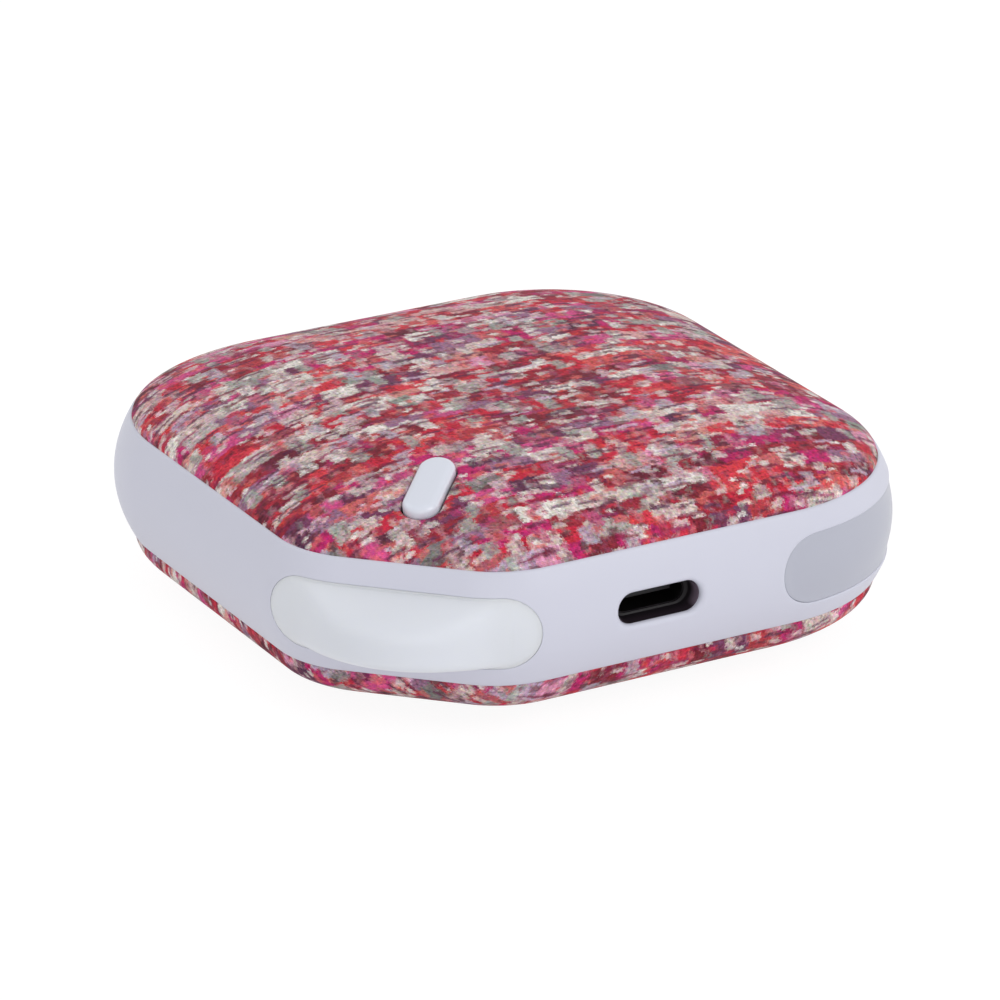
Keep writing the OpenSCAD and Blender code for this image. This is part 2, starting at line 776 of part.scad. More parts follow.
module switch_body() {
    color("darkslategray") button_frame(switch_base) difference() {
        translate([-switch_w/2, -switch_w/2, 0]) cube([switch_w, switch_w, switch_h]);
        translate([0, 0, switch_h - plunger_sunk - button_travel - 0.05])
            cylinder(r = plunger_d/2 + plunger_slack, h = far);
    }
}
module switch_board() {
    color("darkgreen") button_frame(switch_board_base)
        translate([-switch_board_l/2, -switch_board_w/2, 0])
            cube([switch_board_l, switch_board_w, board_t]);
}

module lamp_lens() {
    color("ghostwhite") {
        intersection() {
            cut_corner_wide() band_layer(0, lens_t);
            lamp_frame(0) linear_extrude(height = far)
                pill(lens_l - 2*lens_gap, lens_h - 2*lens_gap);
        }
        lens_swelling();
        lamp_frame(cut_reach - band_wall - lens_depth)
            linear_extrude(height = band_wall + lens_depth + band_bulge/2)
                pill(lens_foot_l, lens_foot_h);
    }
}
// The swelling is the rim of a rounded disc that stands out of the flange
module lens_swelling() {
    h = lens_h - 2*lens_border;
    reach = cut_reach + swell_reach;
    intersection() {
        lamp_frame(reach - swell_r) translate([swell_shift, -h/2, 0]) rotate([-90, 0, 0])
            rotate_extrude() {
                square([swell_r - swell_round, h]);
                translate([0, swell_round]) square([swell_r, h - 2*swell_round]);
                for (y = [swell_round, h - swell_round])
                    translate([swell_r - swell_round, y]) circle(r = swell_round, $fn = 48);
            }
        cut_corner_wide() band_layer(-swell_reach, lens_t);
    }
}
module lamp_board() {
    color("darkgreen") lamp_frame(lamp_board_out) standing_board(lamp_board_w, lamp_board_h);
}
module lamp_diodes() {
    color("khaki") for (i = [0:lamp_count - 1]) lamp_frame(lamp_board_out + board_t)
        translate([(i - (lamp_count - 1)/2)*lamp_pitch - 1.4, -1.4, 0]) cube([2.8, 2.8, 0.8]);
}

module level_window() {
    color("darkgray") intersection() {
        window_corner() band_layer(window_depth, window_depth + window_t);
        level_frame(0) linear_extrude(height = far)
            pill(window_l - 2*window_gap, window_h - 2*window_gap);
    }
}
// One clear moulding: a web over the diodes with a finger for each, up to the window's back
guide_start = level_board_out + board_t + 0.6 + guide_air;
window_back_r = corner_r + band_bulge - window_depth - window_t;
function guide_end(i) = sqrt(2)*corner_k - guide_air - 0.1
    + sqrt(pow(window_back_r, 2) - pow(abs(level_x(i)) + guide_d/2, 2));
module level_light_guides() {
    color("aliceblue") {
        level_frame(guide_start) linear_extrude(height = 1) pill(guide_row, guide_d);
        for (i = [0:level_count - 1]) level_frame(guide_start) translate([level_x(i), 0, 0])
            cylinder(d = guide_d, h = guide_end(i) - guide_start);
    }
}
module level_board() {
    color("darkgreen") level_frame(level_board_out)
        standing_board(level_board_w, level_board_h);
}
module level_diodes() {
    color("lightyellow") for (i = [0:level_count - 1]) level_frame(level_board_out + board_t)
        translate([level_x(i) - 0.9, -0.8, 0]) cube([1.8, 1.6, 0.6]);
}

mid_band();
top_cover();
bottom_cover();
top_fabric();
bottom_fabric();
top_heat_plate();
bottom_heat_plate();
top_heater_film();
bottom_heater_film();
top_foam_pad();
bottom_foam_pad();
thermistors();
inner_tray();
tray_screws();
battery_cell();
protection_board();
battery_leads();
main_board();
board_screws();
usb_shell();
usb_tongue();
control_chips();
power_inductor();
capacitors();
battery_socket();
heater_sockets();
power_button();
switch_plunger();
switch_body();
switch_board();
lamp_lens();
lamp_board();
lamp_diodes();
level_window();
level_light_guides();
level_board();
level_diodes();
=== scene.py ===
import bmesh
import bpy
import numpy as np
from mathutils import Matrix, Vector


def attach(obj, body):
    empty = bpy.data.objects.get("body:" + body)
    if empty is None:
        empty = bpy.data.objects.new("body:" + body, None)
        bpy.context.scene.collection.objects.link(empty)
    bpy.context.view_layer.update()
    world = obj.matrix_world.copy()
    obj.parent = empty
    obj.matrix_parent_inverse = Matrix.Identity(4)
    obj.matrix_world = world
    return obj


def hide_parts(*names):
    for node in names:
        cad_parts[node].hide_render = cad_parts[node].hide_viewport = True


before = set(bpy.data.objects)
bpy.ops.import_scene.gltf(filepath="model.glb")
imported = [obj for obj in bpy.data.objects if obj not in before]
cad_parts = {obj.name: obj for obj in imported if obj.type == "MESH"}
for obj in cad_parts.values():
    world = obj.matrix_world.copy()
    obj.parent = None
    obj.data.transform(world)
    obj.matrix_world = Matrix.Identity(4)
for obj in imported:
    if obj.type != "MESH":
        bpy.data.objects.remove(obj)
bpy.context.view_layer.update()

# ------------------------------------------------------------------------------------ photo set
# The warmer stands on its lower dome on a white sweep, seen a little from above past its cut
# corner. A bright room, a broad soft key in front and three weak fills light it evenly.


def put(tree, kind, inputs=None, **settings):
    """Adds a node, with its settings and its inputs, each a value or another node's output."""
    node = tree.nodes.new(kind)
    for key, value in settings.items():
        setattr(node, key, value)
    for key, value in (inputs or {}).items():
        if isinstance(value, bpy.types.NodeSocket):
            tree.links.new(value, node.inputs[key])
        else:
            node.inputs[key].default_value = value
    return node


def maths(tree, operation, a, b=0.0, c=0.0, clamp=False):
    """Works out one sum in a node; each of its parts is a number or another node's output."""
    node = put(tree, "ShaderNodeMath", {0: a, 1: b, 2: c}, operation=operation, use_clamp=clamp)
    return node.outputs[0]


camera = bpy.data.objects.new("photo_camera", bpy.data.cameras.new("photo_camera"))
camera.data.lens = 218.712
camera.data.sensor_width = 36
camera.data.clip_end = 20
camera.matrix_world = Matrix((
    (0.87018673, 0.18868959, -0.45516073, -0.30284794),
    (-0.49272208, 0.33324095, -0.80385037, -0.53450398),
    (0, 0.92376767, 0.38295338, 0.26588882),
    (0, 0, 0, 1)))
bpy.context.scene.collection.objects.link(camera)
bpy.context.scene.camera = camera
bpy.context.scene.view_settings.view_transform = "Standard"


def plainly_seen(tree):
    """1 for a ray that sees the set straight on, in a gloss or through glass, otherwise 0."""
    rays = put(tree, "ShaderNodeLightPath").outputs
    return maths(tree, "MAXIMUM", rays["Is Camera Ray"], maths(
        tree, "MAXIMUM", rays["Is Glossy Ray"], rays["Is Transmission Ray"]))


# The room gives an even light of 0.64, but is seen as plain white
room = bpy.data.worlds.new("bright_room")
room.use_nodes = True
tree = room.node_tree
tree.nodes.clear()
room_light = put(tree, "ShaderNodeBackground", {"Color": (1, 1, 1, 1), "Strength": maths(
    tree, "MULTIPLY_ADD", plainly_seen(tree), 0.36, 0.64)})
put(tree, "ShaderNodeOutputWorld", {0: room_light.outputs[0]})
bpy.context.scene.world = room

warmer_middle = Vector((0, 0, 0.013))
for name, place, size, power in (
        ("front_key", (0.35, -0.85, 0.75), 0.7, 3.3),
        ("low_fill", (-0.5, -0.8, 0.22), 0.6, 1.1),
        ("side_fill", (0.9, -0.15, 0.25), 0.6, 0.6),
        ("back_fill", (-0.5, 0.7, 0.8), 0.8, 1.4)):
    lamp = bpy.data.lights.new(name, "AREA")
    lamp.shape = "DISK"
    lamp.size = size
    lamp.energy = power
    holder = bpy.data.objects.new(name, lamp)
    turn = (Vector(place) - warmer_middle).to_track_quat("Z", "Y")
    holder.matrix_world = Matrix.Translation(place) @ turn.to_matrix().to_4x4()
    bpy.context.scene.collection.objects.link(holder)

sweep_reach, sweep_z = 4, -1e-4
sweep_mesh = bpy.data.meshes.new("white_sweep")
sweep_mesh.from_pydata([(x*sweep_reach, y*sweep_reach, sweep_z)
                        for x, y in ((-1, -1), (1, -1), (1, 1), (-1, 1))], [], [(0, 1, 2, 3)])
sweep = bpy.data.objects.new("white_sweep", sweep_mesh)
bpy.context.scene.collection.objects.link(sweep)
sweep_paper = bpy.data.materials.new("sweep_paper")
sweep_paper.use_nodes = True
tree = sweep_paper.node_tree
tree.nodes.clear()
fibre = put(tree, "ShaderNodeTexNoise", {"Scale": 900.0, "Detail": 3.0})
paper = put(tree, "ShaderNodeBsdfDiffuse", {"Color": (0.97, 0.97, 0.97, 1), "Normal": put(
    tree, "ShaderNodeBump", {"Strength": 0.05, "Distance": 0.0001,
                             "Height": fibre.outputs[0]}).outputs[0]})
glow = put(tree, "ShaderNodeEmission", {"Color": (1, 1, 1, 1), "Strength": 1.08})
mixed = put(tree, "ShaderNodeMixShader", {
    0: maths(tree, "MULTIPLY", plainly_seen(tree), 0.86), 1: paper.outputs[0], 2: glow.outputs[0]})
put(tree, "ShaderNodeOutputMaterial", {0: mixed.outputs[0]})
sweep_mesh.materials.append(sweep_paper)

# ------------------------------------------------------------------------------- moulded middle
# The middle band is one injection moulding in pale lavender plastic with a fine satin texture.
# It swells between its rims, and is pierced for the port, the lamp's foot and the level lights.
half, corner_k, corner_r = 35.0, 16.0, 19.0
cut_reach, cut_r = 38.2, 11.0
cut_k = half - cut_r
cut_m = np.sqrt(2)*(cut_reach - cut_r) - cut_k
cut_half = (cut_k - cut_m)/np.sqrt(2)
diag = np.sqrt(0.5)
cut_end = (-cut_m - cut_r*diag, -cut_k - cut_r*diag)
low_z, high_z, mid_z = 6.4, 19.3, 12.85
band_bulge, band_wall, lip = 1.9, 2.0, 0.3
port_x, port_z, port_size = -1.7, 13.1, (10, 3.5)
lens_size, window_size = (29.5, 8), (33, 8)


def swell(z):
    """How far the band's face stands out beyond its rim line at a height."""
    return band_bulge*(1 - ((z - mid_z)/(high_z - mid_z))**2)


def bend(centre, radius, start, sweep, steps):
    """Rim points on a bend, each with the way it faces; the last one is left to the next run."""
    turn = np.radians(start + sweep*np.arange(steps)/steps)
    facing = np.stack([np.cos(turn), np.sin(turn)], 1)
    return np.hstack([np.array(centre) + radius*facing, facing])


def straight(start, end, steps):
    """Rim points on a straight run, each with the way it faces; the last is left as well."""
    start, end = np.array(start, float), np.array(end, float)
    along = (end - start)/np.linalg.norm(end - start)
    points = start + (end - start)*np.arange(steps)[:, None]/steps
    return np.hstack([points, np.tile([along[1], -along[0]], (steps, 1))])


# The rim line, anticlockwise from the end of the cut corner, with finer steps beside a feature
runs = {
    "after_cut": straight((-cut_m, -half), (-13.9, -half), 2),
    "to_port": straight((-13.9, -half), (-8.4, -half), 9),
    "port": straight((-8.4, -half), (5.0, -half), 60),
    "to_window": straight((5.0, -half), (11.0, -half), 10),
    "window_in": straight((11.0, -half), (corner_k, -half), 16),
    "window": bend((corner_k, -corner_k), corner_r, -90, 90, 90),
    "window_out": straight((half, -corner_k), (half, -11.0), 16),
    "right": straight((half, -11.0), (half, corner_k), 20),
    "back_right": bend((corner_k, corner_k), corner_r, 0, 90, 40),
    "back": straight((corner_k, half), (-corner_k, half), 18),
    "back_left": bend((-corner_k, corner_k), corner_r, 90, 90, 40),
    "left": straight((-half, corner_k), (-half, -13.9), 20),
    "to_cut": straight((-half, -13.9), (-half, -cut_m), 2),
    "cut_in": bend((-cut_k, -cut_m), cut_r, 180, 45, 28),
    "cut_flat": straight(cut_end[::-1], cut_end, 44),
    "cut_out": bend((-cut_m, -cut_k), cut_r, 225, 45, 28)}
rim_start, rim, count = {}, [], 0
for name, run in runs.items():
    rim_start[name] = count
    rim.append(run)
    count += len(run)
rim = np.vstack(rim)
columns = len(rim)

# The band's section, up the outside, over the rounded lip, down the inside
steps = 48
heights = np.linspace(low_z, high_z, steps + 1)
slope = 4*band_bulge/(high_z - low_z)
turn = np.linspace(0, 1, 6)[:, None]
down = np.array([slope, -1])/np.hypot(slope, 1)*lip
top_lip = (1 - turn)**2*down + turn**2*np.array([-lip, 0]) + [0, high_z]
outside = np.stack([swell(heights), heights], 1)[2:-2]
section = np.vstack([
    [[-band_wall, low_z], [-1.0, low_z]], (top_lip*[1, -1] + [0, low_z + high_z])[::-1],
    outside, top_lip, [[-1.0, high_z], [-band_wall, high_z]],
    np.stack([np.full(steps - 1, -band_wall), heights[1:-1][::-1]], 1)])
# Row first_row + r is at heights[r]: two rim points and the lip come before heights[2]
first_row = 2 + len(top_lip) - 2
inner_row = len(section) - (steps - 1)


class Corner:
    """A side or corner of the band, seen square on: s runs along it, z up, w out of the rim."""

    def __init__(self, along, out, reach, radius, flat):
        self.along, self.out = np.array(along, float), np.array(out, float)
        self.reach, self.radius, self.flat = reach, radius, flat

    def place(self, s, z, w):
        """Points of the part's own frame from places along the corner, heights and stand."""
        reach_round = self.radius + w
        bend_end = reach_round*np.sqrt(0.5)
        away = np.abs(s) - self.flat
        turned = np.arcsin(np.clip(away/reach_round, 0, np.sqrt(0.5)))
        out = self.reach - self.radius + reach_round*np.cos(turned) - np.clip(
            away - bend_end, 0, None)
        plan = s[:, None]*self.along + out[:, None]*self.out
        return np.hstack([plan, np.broadcast_to(z, s.shape)[:, None]])


front_side = Corner((1, 0), (0, -1), half, 1.0, 1000.0)
lamp_corner = Corner((diag, -diag), (-diag, -diag), cut_reach, cut_r, cut_half)
level_corner = Corner((diag, diag), (diag, -diag), np.sqrt(2)*corner_k + corner_r, corner_r, 0.0)


class Pill:
    """A pill outline as a middle line and a radius, met by the shortest way from given points."""

    def __init__(self, length, height, centre, points):
        self.line, self.radius, self.centre = (length - height)/2, height/2, centre
        offset = points - centre
        self.q = np.clip(offset[:, 0], -self.line, self.line)
        away = offset - np.stack([self.q, np.zeros(len(self.q))], 1)
        self.facing = away/np.linalg.norm(away, axis=1)[:, None]

    def at(self, d, length=None, height=None):
        """The outline grown by d, or the matching points of a smaller pill on the same centre."""
        line, radius = self.line, self.radius
        if length is not None:
            line, radius = (length - height)/2, height/2
        points = self.facing*(radius + np.reshape(d, (-1, 1)))
        points[:, 0] += self.q*line/self.line
        return points + self.centre

    def rounded(self, out, down, steps):
        """Rings over a rounded edge round the outline, each with its depth."""
        return [(self.at(out*(1 - np.cos(a))), down*(1 - np.sin(a)))
                for a in np.radians(np.linspace(90, 0, steps))]


def facets(loop_a, loop_b):
    """Faces between two closed loops of point numbers."""
    return np.stack([loop_a, np.roll(loop_a, -1), np.roll(loop_b, -1), loop_b], 1)


def walls(loops, round_again=False, flip=False):
    """Faces from each loop to the next, and from the last back to the first where asked."""
    pairs = zip(loops, loops[1:] + loops[:1] if round_again else loops[1:])
    return [f for a, b in pairs for f in (facets(b, a) if flip else facets(a, b))]


def sheet_faces(numbers, kept):
    """Faces of a grid of point numbers, closed round its columns, wherever they are kept."""
    faces = []
    for row, above_row, keep in zip(numbers, numbers[1:], kept):
        j = np.flatnonzero(keep)
        beside = (j + 1) % len(row)
        faces.extend(np.stack([row[j], row[beside], above_row[beside], above_row[j]], 1))
    return faces


def piece(name, points_mm, faces, finish, body="housing", uv_mm=None, sharp=38):
    """Makes a smooth mesh object from points in millimetres and gives it to its CAD body."""
    mesh = bpy.data.meshes.new(name)
    mesh.from_pydata((np.asarray(points_mm)*0.001).tolist(), [],
                     [tuple(int(i) for i in f) for f in faces])
    mesh.polygons.foreach_set("use_smooth", np.ones(len(mesh.polygons), bool))
    if sharp:
        mesh.set_sharp_from_angle(angle=np.radians(sharp))
    if uv_mm is not None:
        layer = mesh.uv_layers.new(name="cloth")
        corners = np.zeros(len(mesh.loops), int)
        mesh.loops.foreach_get("vertex_index", corners)
        layer.data.foreach_set("uv", np.asarray(uv_mm)[corners].astype(np.float32).ravel())
    obj = bpy.data.objects.new(name, mesh)
    bpy.context.scene.collection.objects.link(obj)
    if finish is not None:
        mesh.materials.append(finish)
    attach(obj, body)
    return obj


# The swept grid, and the loops around each opening in its outer and inner face
grid_points = np.vstack([np.hstack([rim[:, :2] + w*rim[:, 2:], np.full((columns, 1), z)])
                         for w, z in section])
rows = len(section)
grid = np.arange(rows*columns).reshape(rows, columns)
kept = np.ones((rows, columns), bool)
band_points, band_faces = [grid_points], []


def add_ring(ring):
    """Adds a ring of points to the band and gives their numbers."""
    start = sum(len(points) for points in band_points)
    band_points.append(ring)
    return np.arange(start, start + len(ring))


def window_loop(j0, j1, r0, r1, row_of):
    """Point numbers round a block of the grid: columns j0 to j1, heights r0 to r1."""
    js = np.arange(j0, j1 + 1)
    rs = np.arange(r0, r1 + 1)
    return np.concatenate([
        grid[row_of(r0), js[:-1] % columns], grid[[row_of(r) for r in rs[:-1]], j1 % columns],
        grid[row_of(r1), js[:0:-1] % columns], grid[[row_of(r) for r in rs[:0:-1]], j0 % columns]])


def outer(r):
    """The outer face's row at a height."""
    return first_row + r


def inner(r):
    """The inner face's row at a height."""
    return inner_row + steps - 1 - r


def pierce(corner, centre, size, j0, j1, r0, r1, mouth, slot_size):
    """Opens the band: from the block's edge to the mouth, down its rings, through to the inside."""
    loop = window_loop(j0, j1, r0, r1, outer)
    back = window_loop(j0, j1, r0, r1, inner)
    for j in range(j0, j1):
        kept[outer(r0):outer(r1), j % columns] = False
        kept[inner(r1):inner(r0), j % columns] = False
    edge, back_edge = (np.stack([ring[:, :2] @ corner.along, ring[:, 2]], 1)
                       for ring in (grid_points[loop], grid_points[back]))
    pill = Pill(*size, np.array(centre), edge)
    rings = []
    near = mouth(pill)
    start = near[0][0]
    for share in (0.16, 0.34, 0.52, 0.7, 0.86):
        at = edge*(1 - share) + start*share
        rings.append(corner.place(at[:, 0], at[:, 1], swell(at[:, 1])))
    for at, depth in near:
        rings.append(corner.place(at[:, 0], at[:, 1], swell(at[:, 1]) - depth))
    hole = pill.at(0, *slot_size)
    for share in (0, 0.5, 1):
        w = swell(hole[:, 1]) - near[-1][1]
        rings.append(corner.place(hole[:, 0], hole[:, 1], w*(1 - share) - band_wall*share))
    for share in (0.2, 0.6):
        at = hole*(1 - share) + back_edge*share
        rings.append(corner.place(at[:, 0], at[:, 1], np.full(len(at), -band_wall)))
    band_faces.extend(walls([loop] + [add_ring(ring) for ring in rings] + [back]))


def port_mouth(pill):
    """The port's softly rounded mouth: rings, each with its depth."""
    return pill.rounded(0.65, 0.65, 7)


def lens_mouth(pill):
    """A crisp edge, the lens's pocket and its floor."""
    return pill.rounded(0.06, 0.06, 4) + [
        (pill.at(0), 0.7), (pill.at(0), 1.25), (pill.at(0, 22, 7.0), 1.25)]


def window_mouth(pill):
    """A soft edge, the window's recess and its floor."""
    return pill.rounded(0.4, 0.14, 7) + [
        (pill.at(0), 0.8), (pill.at(0), 1.25), (pill.at(0, 24, 5.0), 1.25)]


pierce(front_side, (port_x, port_z), port_size, rim_start["port"], rim_start["to_window"],
       11, 39, port_mouth, port_size)
pierce(level_corner, (0, mid_z), window_size, rim_start["window_in"], rim_start["right"],
       4, 44, window_mouth, (16.2, 3))
pierce(lamp_corner, (0, mid_z), lens_size, rim_start["to_cut"], columns + rim_start["to_port"],
       4, 44, lens_mouth, (15.3, 5.6))
band_faces.extend(sheet_faces(np.vstack([grid, grid[:1]]), kept))

# Four lugs inside the band take the tray's screws
square = np.array([(1, -1), (1, 1), (-1, 1), (-1, -1)])
lug_outline = np.vstack([square[k - 1] + (square[k] - square[k - 1])*np.arange(6)[:, None]/6
                         for k in range(4)])
lug_round = lug_outline/np.linalg.norm(lug_outline, axis=1)[:, None]
for side in (-1, 1):
    for y in (-9, 17):
        place = np.array([side*30.2, y])
        screw = np.array([side*29.0, y])
        lug_rings = [(screw + 0.95*lug_round, 8.6), (screw + 1.15*lug_round, 8.6),
                     (place + 3*lug_outline, 8.6), (place + 3*lug_outline, 13.6),
                     (screw + 1.15*lug_round, 13.6), (screw + 0.95*lug_round, 13.6)]
        band_faces.extend(walls([add_ring(np.hstack([plan, np.full((len(plan), 1), z)]))
                                 for plan, z in lug_rings], round_again=True))


def rgb(r, g, b):
    """A screen colour, 0 to 255, as the linear colour that Blender wants."""
    c = np.array([r, g, b])/255
    return (*np.where(c <= 0.04045, c/12.92, ((c + 0.055)/1.055)**2.4), 1.0)


def node_group(name, inputs, outputs, kind="ShaderNodeTree"):
    """A node group with named sockets; gives the group, its input node and its output node."""
    group = bpy.data.node_groups.new(name, kind)
    for label, socket_kind, value in inputs:
        socket = group.interface.new_socket(label, in_out="INPUT", socket_type=socket_kind)
        if value is not None:
            socket.default_value = value
    for label, socket_kind in outputs:
        group.interface.new_socket(label, in_out="OUTPUT", socket_type=socket_kind)
    return group, put(group, "NodeGroupInput"), put(group, "NodeGroupOutput")


def noise(tree, vector, scale, detail=2.0, rough=0.5, flat=False):
    """Cloudy noise; the finer its scale, the larger the number."""
    return put(tree, "ShaderNodeTexNoise", {
        "Vector": vector, "Scale": scale, "Detail": detail, "Roughness": rough},
        noise_dimensions="2D" if flat else "3D")


def mix_colours(tree, share, a, b, how="MIX"):
    """Colour a with a share of colour b."""
    return put(tree, "ShaderNodeMix", {0: share, 6: a, 7: b}, data_type="RGBA",
               blend_type=how).outputs[2]


def place_on(tree):
    """Where a point is on its object, in metres: X, Y and Z."""
    return put(tree, "ShaderNodeSeparateXYZ", {
        0: put(tree, "ShaderNodeTexCoord").outputs["Object"]}).outputs


def feed(tree, node, **values):
    """Links each value to the node's input of that name."""
    for key, value in values.items():
        tree.links.new(value, node.inputs[key.replace("_", " ")])


# Moulded plastic: a spark-eroded mould leaves fine pits, and flow leaves faint cloudy tone
surface_outputs = [("Colour", "NodeSocketColor"), ("Roughness", "NodeSocketFloat"),
                   ("Normal", "NodeSocketVector")]
moulding, into, out = node_group("moulded_grain", [
    ("Colour", "NodeSocketColor", (0.8, 0.8, 0.8, 1)), ("Grain", "NodeSocketFloat", 12000.0),
    ("Pitting", "NodeSocketFloat", 0.15), ("Clouding", "NodeSocketFloat", 0.03),
    ("Roughness", "NodeSocketFloat", 0.45)], surface_outputs)
place = put(moulding, "ShaderNodeTexCoord").outputs["Object"]
cloud = noise(moulding, place, 90.0, 3.0).outputs[0]
grain = noise(moulding, place, into.outputs["Grain"], 2.0, 0.6).outputs[0]
cloud_shift = maths(moulding, "MULTIPLY", maths(moulding, "SUBTRACT", cloud, 0.5),
                    into.outputs["Clouding"])
lightness = maths(moulding, "ADD", cloud_shift, 1.0)
shade = put(moulding, "ShaderNodeHueSaturation", {
    "Value": lightness, "Color": into.outputs["Colour"]}).outputs[0]
gloss = maths(moulding, "MULTIPLY_ADD", maths(moulding, "SUBTRACT", cloud, 0.5), 0.12,
              into.outputs["Roughness"])
pits = put(moulding, "ShaderNodeBump", {
    "Strength": into.outputs["Pitting"], "Distance": 0.00003, "Height": grain})
feed(moulding, out, Colour=shade, Roughness=gloss, Normal=pits.outputs[0])


def finish_of(name, **plain):
    """A material with its plain values set on the shader's own sockets."""
    material = bpy.data.materials.new(name)
    material.use_nodes = True
    shader = material.node_tree.nodes["Principled BSDF"]
    for key, value in plain.items():
        shader.inputs[key.replace("_", " ")].default_value = value
    return material, material.node_tree, shader


def surfaced(tree, shader, effect, **values):
    """Puts a shared effect in a material, its outputs feeding the shader; gives its outputs."""
    made = put(tree, "ShaderNodeGroup", values, node_tree=effect).outputs
    feed(tree, shader, Base_Color=made["Colour"], Roughness=made["Roughness"],
         Normal=made["Normal"])
    return made


def moulded(name, colour, grain=12000.0, pitting=0.15, clouding=0.03, roughness=0.45, **plain):
    """A moulded plastic."""
    material, tree, shader = finish_of(name, **plain)
    surfaced(tree, shader, moulding, Colour=colour, Grain=grain, Pitting=pitting,
             Clouding=clouding, Roughness=roughness)
    return material


band_plastic = moulded("band_satin", rgb(207, 208, 222), pitting=0.2, roughness=0.42,
                       Specular_IOR_Level=0.4)
band = piece("band_shell", np.vstack(band_points), band_faces, band_plastic)
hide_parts("mid_band")

# ------------------------------------------------------------------------------ charging port
# The receptacle is drawn from sheet steel, plated dark, with its tongue moulded in the middle.
# A black moulded shroud fills the tunnel in front of it, and its rounded lip guides the plug in.


def pill_loop(straight_steps, end_steps):
    """Directions and places along the middle line, round a pill, the same above as below."""
    top = np.linspace(1, -1, straight_steps + 1)
    turn = np.linspace(90, -90, end_steps + 1)[1:-1]
    left = np.radians(180 - turn)
    right = np.radians(turn)
    q = np.concatenate([top, np.full(len(left), -1.0), top[::-1], np.full(len(right), 1.0)])
    angle = np.concatenate([np.full(len(top), np.pi/2), left, np.full(len(top), -np.pi/2),
                            right[::-1]])
    return q, np.stack([np.cos(angle), np.sin(angle)], 1)


port_q, port_facing = pill_loop(30, 24)


def loops_of(rings):
    """Point numbers of equal rings that are stacked one after another."""
    n = len(rings[0])
    return [np.arange(k*n, (k + 1)*n) for k in range(len(rings))]


def port_ring(length, height, y):
    """A pill ring on the port's own middle line."""
    x = port_x + port_q*(length - height)/2 + port_facing[:, 0]*height/2
    z = port_z + port_facing[:, 1]*height/2
    return np.stack([x, np.full(len(x), y), z], 1)


# Each ring's length, height and place: the outside, the inner end, then out along the tunnel
shroud_rings = [port_ring(*ring) for ring in (
    (9.98, 3.48, -36.16), (9.98, 3.48, -34.14), (8.44, 2.66, -34.14), (8.5, 2.7, -34.3),
    (9.3, 3.1, -34.42), (9.5, 3.22, -34.7), (9.66, 3.32, -35.6), (9.76, 3.38, -36.1),
    (9.86, 3.42, -36.2))]
shroud_faces = walls(loops_of(shroud_rings), round_again=True, flip=True)
shroud_black, tree, shader = finish_of("shroud_black", Specular_IOR_Level=0.3)
place = place_on(tree)
# Painted light: the shroud's colour is made lighter purple grey at the tunnel's two end walls, as
# if lit from in front
painted_end_light = put(tree, "ShaderNodeMapRange", {"Value": maths(tree, "ABSOLUTE", maths(
    tree, "SUBTRACT", place[0], port_x*0.001)), "From Min": 0.0041, "From Max": 0.0046}, clamp=True)
# Painted shade: the colour goes darker deeper in the tunnel, where shade falls
painted_deep_shade = put(tree, "ShaderNodeMapRange", {"Value": place[1], "From Min": -0.0356,
                                        "From Max": -0.0348}, clamp=True)
shroud_colour = mix_colours(tree, painted_end_light.outputs[0], rgb(36, 27, 35), rgb(98, 85, 98))
surfaced(tree, shader, moulding, Grain=8000.0, Pitting=0.12, Clouding=0.1, Roughness=0.5,
         Colour=mix_colours(tree, painted_deep_shade.outputs[0], shroud_colour, rgb(22, 17, 22)))
piece("port_shroud", np.vstack(shroud_rings), shroud_faces, shroud_black)

# Worked metal: faint lines of rolling or drawing one way, and a little tarnish
metal_work, into, out = node_group("worked_metal", [
    ("Colour", "NodeSocketColor", (0.6, 0.6, 0.6, 1)), ("Lines", "NodeSocketVector", None),
    ("Depth", "NodeSocketFloat", 0.2), ("Tarnish", "NodeSocketFloat", 0.1),
    ("Roughness", "NodeSocketFloat", 0.3)], surface_outputs)
place = put(metal_work, "ShaderNodeTexCoord").outputs["Object"]
drawn = put(metal_work, "ShaderNodeVectorMath", {0: place, 1: into.outputs["Lines"]},
            operation="MULTIPLY").outputs[0]
lines = noise(metal_work, drawn, 1.0, 3.0, 0.65).outputs[0]
cloud = maths(metal_work, "SUBTRACT", noise(metal_work, place, 260.0, 3.0).outputs[0], 0.5)
shade = put(metal_work, "ShaderNodeHueSaturation", {
    "Value": maths(metal_work, "MULTIPLY_ADD", cloud, into.outputs["Tarnish"], 1.0),
    "Color": into.outputs["Colour"]}).outputs[0]
gloss = maths(metal_work, "MULTIPLY_ADD", maths(metal_work, "SUBTRACT", lines, 0.5), 0.25, maths(
    metal_work, "MULTIPLY_ADD", cloud, 0.15, into.outputs["Roughness"]))
cut = put(metal_work, "ShaderNodeBump", {
    "Strength": into.outputs["Depth"], "Distance": 0.00002, "Height": lines})
feed(metal_work, out, Colour=shade, Roughness=gloss, Normal=cut.outputs[0])


def worked(name, colour, lines=(400.0, 20000.0, 20000.0), depth=0.2, tarnish=0.1,
           roughness=0.3):
    """A metal; lines is how fine the marks of its working are along X, Y and Z."""
    material, tree, shader = finish_of(name, Metallic=1.0)
    surfaced(tree, shader, metal_work, Colour=colour, Lines=lines, Depth=depth, Tarnish=tarnish,
             Roughness=roughness)
    return material


def dress(finish, *nodes):
    """Gives a finish to solids of the frame that keep their own shape."""
    for node in nodes:
        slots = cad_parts[node].data.materials
        if not slots:
            slots.append(finish)
        for k in range(len(slots)):
            slots[k] = finish


